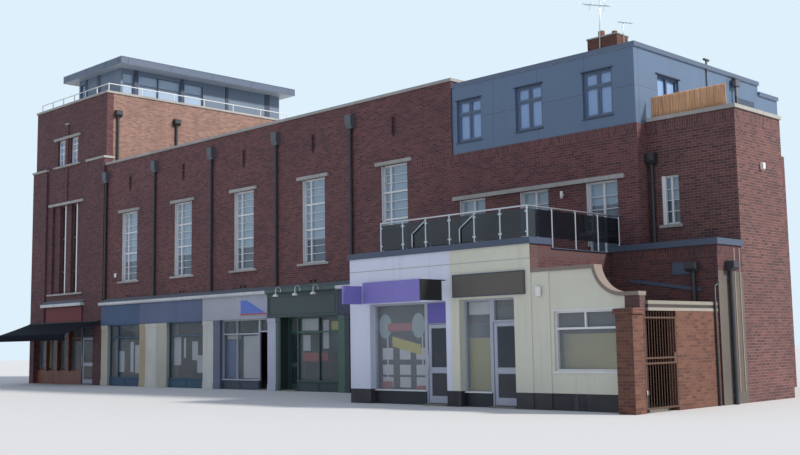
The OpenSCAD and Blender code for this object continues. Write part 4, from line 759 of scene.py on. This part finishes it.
white_card, blue_card = card("white_card", (238, 240, 244)), card("blue_card", (52, 96, 178))
red_card, yellow_card = card("red_card", (190, 52, 50)), card("yellow_card", (226, 212, 60))
purple_card, olive_card = card("purple_card", (96, 84, 168)), card("olive_card", (186, 176, 92))


def sheets(edges, y, thick=card_t):
    # Upright sheets, each given by its left, right, foot and head
    return [block((x0, y, z0), (x1, y + thick, z1), 0.001) for x0, x1, z0, z1 in edges]


whites = sheets((
    (-26.0, -25.75, 0.6, 1.9), (-25.62, -25.2, 0.55, 1.75), (-22.6, -22.1, 0.9, 2.05),
    (-21.9, -21.75, 1.2, 2.0), (-21.3, -20.9, 1.1, 1.85), (-17.85, -16.85, 0.42, 2.02),
    (-18.9, -18.05, 1.9, 2.05), (-14.35, -13.35, 2.14, 2.56), (-14.3, -13.9, 1.42, 1.98),
    (-13.2, -12.9, 1.5, 2.5), (-27.1, -26.5, 0.6, 1.5), (-20.95, -20.5, 0.6, 1.3)), behind)
grid_x, grid_w = -6.26, 0.42
whites += sheets([(grid_x + left, grid_x + left + grid_w, z - 0.22, z + rise)
                  for z, rise in ((1.42, 0.1), (1.0, 0.06), (0.66, 0.06))
                  for left in (0.12, 0.80, 1.44)], behind_ext)
whites += sheets(((-5.98, -5.93, 0.5, 2.1), (-4.62, -4.57, 0.9, 2.1), (-6.2, -4.4, 2.1, 2.15)),
                 behind_ext + 0.02)
whites += sheets(((-2.85, -2.06, 2.35, 2.68),), behind_ext)
assemble("white_sheets", whites, white_card)
assemble("blue_sheet", sheets(((-18.95, -18.1, 0.42, 1.85),), behind), blue_card)
reds = sheets(((-14.3, -12.95, 1.06, 1.36),), behind - 0.01)
reds += sheets(((-5.9, -4.95, 1.98, 2.2), (-6.2, -5.75, 0.42, 0.6), (-4.85, -4.4, 0.40, 0.5)),
               behind_ext - 0.01)
assemble("red_strips", reds, red_card)
yellows = sheets(((-5.72, -4.62, 1.44, 1.72),), behind_ext - 0.02)
band_middle, band_fall = -5.17, 0.22
for vertex in yellows[0].data.vertices:
    vertex.co.z += (corner.x + band_middle - vertex.co.x) * band_fall
yellows += sheets(((-12.75, -12.3, 2.14, 2.44),), behind)
yellows += sheets(((-33.9, -33.5, 0.75, 2.1),), behind_cafe)
assemble("yellow_bands", yellows, yellow_card)
assemble("blue_sheet_cafe", sheets(((-34.35, -34.0, 0.8, 2.0),), behind_cafe), blue_card)
assemble("purple_panel", sheets(((-4.24, -3.44, 2.16, 2.70),), -3.995, 0.012), purple_card)
olives = sheets(((-2.88, -2.04, 0.38, 1.75),), behind_ext)
olives += sheets(((0.12, 1.93, 0.94, 1.80),), -3.78)
assemble("olive_blinds", olives, olive_card)
oval_r, oval_z, oval_height = 0.25, 2.12, 1.35
ovals = []
for x in (-6.02, -4.72):
    deselect()
    bpy.ops.mesh.primitive_cylinder_add(
        vertices=32, radius=oval_r, depth=0.02, location=at(x, behind_ext + 0.005, oval_z),
        rotation=(math.pi / 2, 0, 0))
    disc = bpy.context.object
    disc.scale = (1.0, oval_height, 1.0)
    bpy.ops.object.transform_apply(location=True, rotation=True, scale=True)
    ease(0.004)
    ovals.append(disc)
assemble("pale_ovals", ovals, card("pale_card", (176, 200, 204)))

# Shop doors. Glazed leaves on knuckle hinges, in painted timber at the green shop and in pale
# aluminium at the cafe and the extension, with a steel pull and a draught strip at the foot.
steel, tree, shader = new_material("brushed_steel")
worn(tree, shader, (186, 190, 196), dirt=(120, 122, 126), patches=0.15, streaks=0.1, grain=0.1,
     grain_scale=260.0, rough=0.3, rough_dirty=0.5, bump=0.05)
shader.inputs["Metallic"].default_value = 0.85
green_paint = finish("green_paint", (40, 62, 60), dirt=(70, 76, 70), patches=0.2, streaks=0.15,
                     grain=0.06, rough=0.4, bump=0.1)
pale_alloy = finish("pale_alloy", (172, 178, 194), dirt=(126, 126, 130), patches=0.2,
                    streaks=0.15, grain=0.05, rough=0.35, bump=0.08)
door_glass = glazing("door_glass", (64, 72, 84), 0.0, 0.01, alpha=0.55)
stile, leaf_t, gap, frame_d = 0.09, 0.045, 0.008, 0.07
leaf_low, leaf_high, lower_light, upper_light = 0.05, 2.13, (0.23, 0.85), (0.985, 2.04)
bead_w, strip_t = 0.012, 0.006
knuckle_low, knuckle_h, knuckle_r, plate_w, plate_t = (0.3603, 1.7603), 0.06, 0.008, 0.044, 0.003
pull_low, pull_high, pull_r, pull_out = 0.9, 1.35, 0.012, 0.06


def spread(x, way, near, far):
    # The left and right edges of a piece that lies to one side of a line
    return sorted((x + way * near, x + way * far))


def glazed_leaf(body, left, right, face, hinges_right, node, paint):
    x0, x1, back = left + gap, right - gap, face + frame_d
    front = back - leaf_t
    members = [block((x0, front, leaf_low), (x0 + stile, back, leaf_high)),
               block((x1 - stile, front, leaf_low), (x1, back, leaf_high))]
    rails = ((leaf_low, lower_light[0]), (lower_light[1], upper_light[0]),
             (upper_light[1], leaf_high))
    members += [block((x0 + stile, front, low), (x1 - stile, back, high)) for low, high in rails]
    for low, high in (lower_light, upper_light):
        members += ring(x0 + stile, x1 - stile, low, high, front + 0.008, back - 0.008, bead_w,
                        0.002)
    members.append(block((x0 + 0.01, front - strip_t, 0.055), (x1 - 0.01, front, 0.09), 0.002))
    axis_x = x1 + gap / 2 if hinges_right else x0 - gap / 2
    plate = spread(axis_x, -1 if hinges_right else 1, 0, plate_w)
    for z in knuckle_low:
        pin_y, high = back + 0.009, z + knuckle_h
        members += [rod((axis_x, pin_y, z), (axis_x, pin_y, high), knuckle_r),
                    block((plate[0], back, z), (plate[1], back + plate_t, high), 0)]
    leaf = assemble(body + "_leaf", members, paint, body)
    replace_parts(leaf, node)
    lap = 0.006
    panes = [block((x0 + stile - lap, back - 0.0285, low - lap),
                   (x1 - stile + lap, back - 0.0165, high + lap), 0.001)
             for low, high in (lower_light, upper_light)]
    assemble(body + "_panes", panes, door_glass, body)
    x = x0 + stile / 2 if hinges_right else x1 - stile / 2
    pull = [rod((x, front - pull_out, pull_low), (x, front - pull_out, pull_high), pull_r)]
    pull += [rod((x, front, z), (x, front - pull_out, z), 0.0096) for z in (0.936, 1.314)]
    assemble(body + "_pull", pull, steel, body)


glazed_leaf("green_door", -15.25, -14.48, 0.10, False, "green_shop_door", green_paint)
glazed_leaf("west_door", -4.26, -3.44, -3.98, True, "west_shop_door", pale_alloy)
glazed_leaf("east_door", -1.95, -1.13, -3.98, False, "east_shop_door", pale_alloy)
glazed_leaf("cafe_door", -30.37, -29.12, 0.09, True, "cafe_door", pale_alloy)

# Cafe at the tower's foot. Varnished timber front, and an awning of navy cloth on a steel box,
# front bar and two arms.
varnish, tree, shader = new_material("varnished_timber")
spot = add(tree, "ShaderNodeMapping", {"Vector": point_of(tree), "Scale": (26.0, 26.0, 1.6)})
grain = noise_of(tree, spot.outputs[0], 1.0, 5.0, Distortion=0.6)
wood = mix_of(tree, band_of(tree, grain, 0.35, 0.65), (142, 78, 48), (96, 50, 34))
worn(tree, shader, wood, dirt=(44, 32, 28), streaks=0.1, grain=0.05, rough=0.4, bump=0.2,
     height=grain)
cover(varnish, "cafe_front")

awning_cloth, tree, shader = new_material("awning_cloth")
spot = point_of(tree)
warp, weft = (add(tree, "ShaderNodeTexWave", {"Vector": spot, "Scale": 160.0},
                  bands_direction=way).outputs["Fac"] for way in ("X", "Z"))
worn(tree, shader, (9, 12, 26), dirt=(26, 30, 44), streaks=0.3, grain=0.1, grain_scale=200.0,
     rough=0.95, bump=0.3, depth=0.001, height=math_of(tree, "ADD", warp, weft))
shader.inputs["Specular IOR Level"].default_value = 0.15

awning_x0, awning_w, cloth_t = -35.05, 6.6, 0.002
back_y, front_y, back_z, front_z, drop = -0.2203, -1.798, 2.85, 2.30, 0.295
slope = math.hypot(front_y - back_y, back_z - front_z)
sag_depth, ripple_depth, ripples, scallops = 0.022, 0.003, 14, 28
deselect()
bpy.ops.mesh.primitive_grid_add(x_subdivisions=58, y_subdivisions=22, size=1)
awning = bpy.context.object
for vertex in awning.data.vertices:
    u, v = vertex.co.x + 0.5, vertex.co.y + 0.5
    down = v * (slope + drop)
    ripple = math.sin(u * math.tau * ripples)
    if down <= slope:
        s = down / slope
        belly = 0.6 + 0.4 * math.sin(math.pi * u) ** 0.5
        sag = sag_depth * math.sin(math.pi * s) * belly + ripple_depth * ripple * s
        y, z = back_y + (front_y - back_y) * s, back_z + (front_z - back_z) * s - sag
    else:
        t = (down - slope) / drop
        scallop = 1 - 0.09 * (0.5 + 0.5 * math.cos(u * math.tau * scallops)) * t
        y, z = front_y + 2 * ripple_depth * ripple * t, front_z - (down - slope) * scallop
    vertex.co = at(awning_x0 + u * awning_w, y, z)
awning.data.shade_smooth()
cloth = awning.modifiers.new("cloth", "SOLIDIFY")
cloth.thickness = cloth_t
cloth.offset = 0
bpy.context.view_layer.objects.active = awning
bpy.ops.object.modifier_apply(modifier="cloth")
assemble("awning_sheet", [awning], awning_cloth)
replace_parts(awning, "awning")

# Tower front details. A thin brick rib runs between the two window groups, the head of the fin
# has a stone cap, and each tall light has a white board at its right-hand jamb.
fin_x = -31.93
assemble("tower_rib", [block((fin_x - 0.09, -0.05, 8.63), (fin_x + 0.09, 0.0, 10.33))],
         tower_brick)
assemble("fin_cap", [block((fin_x - 0.17, -0.095, 12.37), (fin_x + 0.17, 0.0, 12.45), 0.012)],
         cast_stone)
boards = [block((x + 0.47, 0.13, 4.26), (x + 0.597, 0.23, 8.49)) for x in (-32.78, -31.68)]
for x in (-32.92, -31.68):
    for left, right in ((0.06, 0.34), (0.40, 0.68)):
        boards += pane_bars(x + left, x + right, 10.48, 11.03, 2)
assemble("tower_white_boards", boards, white_paint)

# Roof lookout. Grey metal posts and panels with glazed bays, under a broad flat roof plate with
# a folded slate-blue edge and a paler soffit.
cover(jointed("lookout_panels", (106, 124, 144), (84, 94, 108), (-32.6, 1.3), (13.32, 4.0),
              patches=0.15, streaks=0.2, grain=0.05, rough=0.45, rough_dirty=0.6),
      "lookout_walls")


def roof_tones(tree):
    soffit = short_of(tree, facing_of(tree)[2], -0.5)
    return mix_of(tree, soffit, (86, 100, 124), (190, 200, 214))


def metal(name, tone, dirt, patches=0.15, streaks=0.15, rough=0.4, **more):
    return finish(name, tone, dirt=dirt, patches=patches, streaks=streaks, grain=0.05,
                  rough=rough, **more)


roof_metal = metal("roof_edge_metal", roof_tones, (84, 94, 108), 0.2, 0.2, rough_dirty=0.6,
                   bump=0.1)
dark_frame = metal("dark_frame_paint", (54, 66, 88), (78, 88, 104), rough=0.45, bump=0.1)
cover(roof_metal, "lookout_roof", "penthouse_roof")

lookout_low, lookout_high, rail_z = 13.1, 14.855, (14.16, 14.19)
posts, edges, rails = [], [], []
for side_x, out in ((-29.10, 1), (-33.05, -1)):
    left, right = spread(side_x, out, 0, 0.035)
    edge_left, edge_right = spread(side_x, out, 0, 0.045)
    for y0, y1 in ((1.85, 2.02), (4.45, 4.60), (7.13, 7.26), (9.66, 9.92)):
        posts.append(block((left, y0, lookout_low), (right, y1, lookout_high)))
        edges.append(block((edge_left, y1, lookout_low), (edge_right, y1 + 0.05, lookout_high)))
    left, right = spread(side_x, -out, 0.08, 0.03)
    rails.append(block((left, 3.17, 13.36), (right, 3.21, 14.64)))
    rails += [block((left, y0, rail_z[0]), (right, y1, rail_z[1]))
              for y0, y1 in ((2.09, 4.42), (1.26, 1.82), (4.64, 5.76))]
for x0, x1 in ((-32.42, -32.30), (-31.26, -31.06)):
    posts.append(block((x0, 1.095, lookout_low), (x1, 1.13, lookout_high)))
    edges.append(block((x1, 1.085, lookout_low), (x1 + 0.05, 1.13, lookout_high)))
assemble("lookout_posts", posts + rails, dark_frame)
assemble("lookout_post_edges", edges, roof_metal)
fold_z = (14.87, 15.185)
folds = [block((-33.865, 0.675, z), (-28.285, 0.69, z + 0.02), 0.004) for z in fold_z]
folds += [block((-28.30, 0.675, z), (-28.285, 11.06, z + 0.02), 0.004) for z in fold_z]
folds += [block((x, 0.678, fold_z[0]), (x + 0.03, 0.69, 15.205), 0.004)
          for x in (-33.4, -31.6, -29.8, -28.62)]
folds += [block((-28.30, y, fold_z[0]), (-28.288, y + 0.03, 15.205), 0.004)
          for y in (1.05, 3.4, 5.8, 8.2, 10.6)]
assemble("roof_edge_folds", folds, roof_metal)

# Penthouse. Walls of folded metal sheets. Each window has two casements under two top lights, set
# deep in the cladding with a dark pressed drip over its head, and the end wall has two drips.
cover(jointed("penthouse_cladding", (92, 113, 141), (76, 90, 110), (-6.87, 1.72), (8.62, 2.2),
              half=0.008, dark=0.5, patches=0.18, streaks=0.25, grain=0.05, rough=0.4,
              rough_dirty=0.6), "penthouse_walls")
trim_metal = jointed("trim_metal", (64, 76, 98), (52, 60, 76), (0.0, 2.4), patches=0.2,
                     streaks=0.25, grain=0.05, rough=0.42, rough_dirty=0.65)
cover(trim_metal, "roof_trims")
cover(metal("window_metal", (78, 94, 120), (70, 80, 98), rough=0.42, bump=0.08),
      "penthouse_windows")
sash_metal = metal("sash_metal", (104, 124, 152), (84, 96, 114), bump=0.08)
windows_x, sash_y, sash_w = (-6.66, -4.27, -1.79), (0.118, 0.160), 0.032
sashes = []
for left, right in ((0.06, 0.48), (0.54, 0.96)):
    for low, high in ((7.97, 8.773), (8.833, 9.19)):
        sashes += ring(windows_x[0] + left, windows_x[0] + right, low, high, *sash_y, sash_w)
first = assemble("casements_1", sashes, sash_metal)
repeated(first, "casements", (2.39, 4.87))
drips = []
for x in windows_x:
    drips += [block((x - 0.04, -0.005, 9.245), (x + 1.06, 0.05, 9.268), 0.004),
              block((x - 0.03, 0.0, 7.87), (x + 1.05, 0.045, 7.895), 0.004)]
drips += [block((-0.045, 1.14, 9.10), (0.0, 2.44, 9.135), 0.005),
          block((-0.045, 5.85, 8.82), (-0.02, 6.95, 9.12), 0.005)]
assemble("window_drips", drips, dark_frame)

# Reed screen on the stair block. Split reeds wired side by side on three pairs of wires, and
# weathered to straw and brown.
reed_x, reed_pitch, reed_r, reed_low, reed_high = 0.106, 0.0115, 0.0062, 7.702, 8.30
strip, strips = 11, 18


def reed_tones(tree):
    tips = add(tree, "ShaderNodeMapping", {"Vector": point_of(tree), "Scale": (90.0, 20.0, 2.0)})
    tips = noise_of(tree, tips.outputs[0], 1.0)
    return mix_of(tree, band_of(tree, tips, 0.38, 0.66), (250, 208, 164), (196, 136, 98))


reed = finish("reed", reed_tones, dirt=(110, 84, 70), patches=0.4, streaks=0.3, grain=0.2,
              grain_scale=70.0, rough=0.75, bump=0.3)
random.seed(11)
stalks = []
for i in range(strip):
    for y in (0.611, 0.626):
        x = reed_x + i * reed_pitch
        head = (x + random.uniform(-0.003, 0.003), y, reed_high + random.uniform(-0.03, 0.018))
        stalks.append(rod((x, y, reed_low), head, reed_r, 6))
mat_of_reeds = join(stalks)
repeat = mat_of_reeds.modifiers.new("row", "ARRAY")
repeat.use_relative_offset = False
repeat.use_constant_offset = True
repeat.constant_offset_displace = (strip * reed_pitch, 0, 0)
repeat.count = strips
bpy.ops.object.modifier_apply(modifier="row")
wires = [rod((0.1, y, z), (2.38, y, z), 0.0025, 6)
         for y in (0.603, 0.635) for z in (7.80, 8.0, 8.2)]
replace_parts(assemble("reed_stalks", [mat_of_reeds] + wires, reed), "reed_screen")

# Extension. Painted render on the open side, lavender-white to the left and cream to the
# right, over a navy plinth, with bare brick on the beam's end and on the wing wall's end.
tone_split, plinth_top, groove_z, groove_half = -3.22, 0.40, 3.68, 0.012
beam_foot, wall_end_x, wall_end_foot = 3.35, 2.13, 0.5


def render_tones(tree):
    place = place_of(tree)
    right_half = past(tree, place[0], corner.x + tone_split)
    tone = mix_of(tree, right_half, (216, 222, 240), (214, 214, 198))
    # The groove is a grey line painted on, as the shade in its crease.
    groove = math_of(tree, "ABSOLUTE", math_of(tree, "SUBTRACT", place[2], groove_z))
    tone = mix_of(tree, short_of(tree, groove, groove_half), tone, (172, 174, 174))
    tone = mix_of(tree, short_of(tree, place[2], plinth_top), tone, (18, 20, 34))
    laid = bricks_of(tree, (64, 34, 38), (86, 46, 50), (86, 66, 66))
    faces_right = past(tree, facing_of(tree)[0], square_on)
    beam_end = times(tree, faces_right, past(tree, place[2], beam_foot))
    wall_end = times(tree, past(tree, place[0], corner.x + wall_end_x),
                     past(tree, place[2], wall_end_foot))
    bare = math_of(tree, "MAXIMUM", beam_end, wall_end)
    return mix_of(tree, bare, tone, laid["Color"])


cover(finish("render_paint", render_tones, dirt=(146, 142, 132), patches=0.12, streaks=0.22,
             grain=0.10, grain_scale=35.0, rough=0.75, bump=0.3, depth=0.004),
      "extension_piers", "extension_beam", "wing_wall")

lips = [block((0.955, -4.065, 1.925), (1.0, -4.005, 2.30))]
lips += [block((x0, -4.03, 0.352), (x1, -3.98, 0.385), 0.004)
         for x0, x1 in ((-6.31, -4.31), (-2.92, -2.0))]
lips += [block((0.06, -4.16, 0.88), (1.99, -4.07, 0.92), 0.006),
         block((0.06, -4.145, 2.35), (1.99, -4.13, 2.38), 0.003)]
assemble("extension_sills", lips, white_paint)
boxes = [block((-0.36, -4.24, 2.72), (-0.21, -4.18, 2.97), 0.015),
         block((-27.38, -0.06, 4.76), (-27.22, 0.0, 4.94), 0.01),
         rod((-2.55, -0.10, 5.70), (-2.55, -0.10, 5.90), 0.045),
         block((-2.57, -0.06, 5.77), (-2.53, 0.0, 5.83), 0.004),
         block((2.65, 1.74, 6.08), (2.77, 1.86, 6.26), 0.02)]
assemble("wall_boxes", boxes, lamp_white)

# Terrace balustrade. Brushed steel tubes with tinted glass between them, held by small clamps,
# and two bent steel stays in front of the glass.
cover(steel, "balustrade")
cover(glazing("tinted_glass", (66, 74, 86), 0.88, 0.01), "balustrade_glass")
bays, rail_y, stay_y, stay_run = 6, -4.06, -4.10, 0.48
posts_x = [-5.932 + 5.25 * i / bays for i in range(bays + 1)]
clamps = []
for i, x in enumerate(posts_x):
    for z in (4.33, 4.84):
        for way in (-1, 1):
            if 0 <= i + (way - 1) / 2 < bays:
                left, right = spread(x, way, 0.018, 0.062)
                clamps.append(block((left, -4.075, z), (right, -4.045, z + 0.045), 0.004))
for x in posts_x:
    clamps += [rod((x, rail_y, 4.20), (x, rail_y, 4.212), 0.05),
               rod((x, rail_y, 4.93), (x, rail_y, 4.965), 0.03)]
assemble("glass_clamps", clamps, steel)
stays = []
for x in (posts_x[2], posts_x[4]):
    foot = x - stay_run
    stays += [rod((x - 0.02, stay_y, 4.90), (foot, stay_y, 4.60), 0.019),
              rod((foot, stay_y, 4.19), (foot, stay_y, 4.61), 0.019),
              rod((x, rail_y, 4.90), (x - 0.02, stay_y, 4.90), 0.015),
              rod((foot, stay_y, 4.185), (foot, stay_y, 4.197), 0.045)]
assemble("terrace_stays", stays, steel)

# Wing wall coping. Pinkish bricks laid on edge side by side along the level top and the sweep,
# bedded on a strip of pale mortar that shows between them.
wall_left, wall_right, low_z, top_z = -0.54, 2.53, 2.64, 3.32
sweep_x, sweep_r, sweep_steps, pitch = 2.10, 0.845, 24, 0.075


def edge_tones(tree):
    tint = band_of(tree, noise_of(tree, point_of(tree), 7.0), 0.4, 0.6)
    return mix_of(tree, tint, (148, 102, 94), (108, 70, 68))


edge_brick = finish("edge_brick", edge_tones, dirt=(102, 80, 74), patches=0.3, streaks=0.0,
                    grain=0.25, grain_scale=90.0, rough=0.85, bump=0.4)
mortar = finish("pale_mortar", (140, 128, 120), dirt=(110, 102, 96), patches=0.3, grain=0.3,
                grain_scale=120.0, rough=0.95, bump=0.4)
sweep_z = low_z + sweep_r
start = math.acos((sweep_z - top_z) / sweep_r)
turns = [start * (1 - i / sweep_steps) for i in range(sweep_steps + 1)]
route = [(wall_left, top_z), (sweep_x - sweep_r * math.sin(start), top_z)]
route += [(sweep_x - sweep_r * math.sin(a), sweep_z - sweep_r * math.cos(a)) for a in turns[1:]]
route.append((wall_right, low_z))
lengths = [math.dist(route[i], route[i + 1]) for i in range(len(route) - 1)]
count = int(sum(lengths) / pitch)
brick = block((-0.0325, -4.17, 0.002), (0.0325, -3.86, 0.088), 0.005)
brick.data.transform(Matrix.Translation(-at(0, 0, 0)))
coping_bricks = []
for k in range(count):
    reach, i = (k + 0.5) * sum(lengths) / count, 0
    while reach > lengths[i]:
        reach -= lengths[i]
        i += 1
    (ax, az), (bx, bz) = route[i], route[i + 1]
    share = reach / lengths[i]
    lean = Matrix.Rotation(-math.atan2(bz - az, bx - ax), 4, "Y")
    copy = brick.copy()
    copy.data = brick.data.copy()
    copy.data.transform(
        Matrix.Translation(at(ax + (bx - ax) * share, 0, az + (bz - az) * share)) @ lean)
    bpy.context.collection.objects.link(copy)
    coping_bricks.append(copy)
bpy.data.objects.remove(brick)
assemble("coping_bricks", coping_bricks, edge_brick)
cover(mortar, "wing_coping")

# Yard. Brick gate pier with a tiled cap, a lead-dressed beam over the rusted gate, flashings on
# the low block's front, and two mortar fillets on its right-hand side.
cover(finish("beam_paint", bands([(150, 146, 138), (2.36, (52, 46, 46)), (2.44, (140, 138, 128))],
                                 axis=2),
             dirt=(96, 92, 88), patches=0.3, streaks=0.3, rough=0.75, bump=0.2), "yard_roof")
cover(finish("rusted_iron", (74, 54, 46), dirt=(104, 70, 50), patches=0.45, streaks=0.3,
             grain=0.2, bump=0.2), "yard_gate")
tiles = [block((2.10, -4.565, 2.325), (2.65, -4.11, 2.345), 0.006),
         block((2.10, -4.565, 2.255), (2.65, -4.13, 2.272), 0.004)]
assemble("pier_cap_tiles", tiles, edge_brick)
flashing_middle, flashing_fall = 1.13, 0.155
flashing = block((0.10, -0.785, 2.965), (2.16, -0.76, 3.055), 0.004)
for vertex in flashing.data.vertices:
    vertex.co.z += (corner.x + flashing_middle - vertex.co.x) * flashing_fall
patches = [flashing, block((1.37, -0.785, 3.25), (1.90, -0.76, 3.56), 0.006)]
assemble("low_flashings", patches, trim_metal)
fillets = [block((2.65, y, 0.3), (2.665, y + 0.05, 3.9), 0.003) for y in (0.05, 0.32)]
assemble("mortar_fillets", fillets, mortar)

# Chimney and aerials. A slab and two clay pots on the stack, and two aluminium aerials on masts
# strapped to it.
clay = finish("clay_pot", (150, 104, 78), dirt=(80, 66, 58), patches=0.35, streaks=0.3,
              grain=0.2, rough=0.85, bump=0.3)
pots = [rod((x, 2.3, 10.86), (x, 2.3, top), radius, 20)
        for x, top, radius in ((-2.6, 11.12, 0.105), (-2.12, 11.02, 0.09))]
assemble("chimney_pots", pots, clay)
assemble("chimney_slab", [block((-2.96, 1.97, 10.82), (-1.82, 2.63, 10.87), 0.01)], cast_stone)
masts = [rod((-2.46, 1.96, 10.1), (-2.39, 1.96, 12.0), 0.016),
         rod((-3.0, 1.96, 12.0), (-2.05, 1.96, 11.72), 0.01),
         rod((-1.80, 2.3, 10.2), (-1.80, 2.3, 11.3), 0.014),
         rod((-2.0, 2.3, 11.28), (-1.48, 2.3, 11.12), 0.009)]
element_step, element_r = 0.11, 0.005
for i in range(9):
    x, z = -2.98 + element_step * i, 11.995 - 0.0325 * i
    masts.append(rod((x, 1.72 + 0.01 * i, z), (x, 2.2 - 0.01 * i, z), element_r, 6))
for i in range(5):
    x, z = -1.97 + element_step * i, 11.27 - 0.033 * i
    masts.append(rod((x, 2.13, z), (x, 2.47, z), element_r, 6))
masts += [rod((-2.78, 1.96, 11.75), (-2.72, 1.96, 12.1), 0.006, 6),
          rod((-2.25, 1.96, 11.6), (-2.22, 1.96, 11.98), 0.006, 6)]
assemble("aerials", masts, steel)

# Sign boards. Bare painted boards and two hanging boxes, screwed to the fascias and the walls,
# with no words or marks.
cover(finish("sign_paint", bands([
    (108, 26, 36), (-20, (170, 174, 192)), (-10, (134, 124, 200)), (-3.65, (22, 22, 26)),
    (-3.15, (92, 86, 80))]), dirt=(60, 60, 64), patches=0.12, streaks=0.15, grain=0.05, rough=0.6,
    bump=0.05), "sign_boards")
wedge_x, wedge_top_share = -17.62, 0.25
wedge = block((wedge_x, -0.318, 2.84), (-16.08, -0.315, 3.34), 0)
for vertex in wedge.data.vertices:
    if vertex.co.z > 3.0:
        across = vertex.co.x - corner.x - wedge_x
        vertex.co.x = corner.x + wedge_x + across * wedge_top_share
assemble("board_wedge", [wedge], card("wedge_blue", (88, 120, 206)))
assemble("board_line", sheets(((-17.68, -16.02, 2.795, 2.835),), -0.32, 0.004), red_card)
edging = ring(-3.10, -0.70, 2.80, 3.39, -4.235, -4.225, 0.025)
assemble("sign_edging", edging, dark_frame)
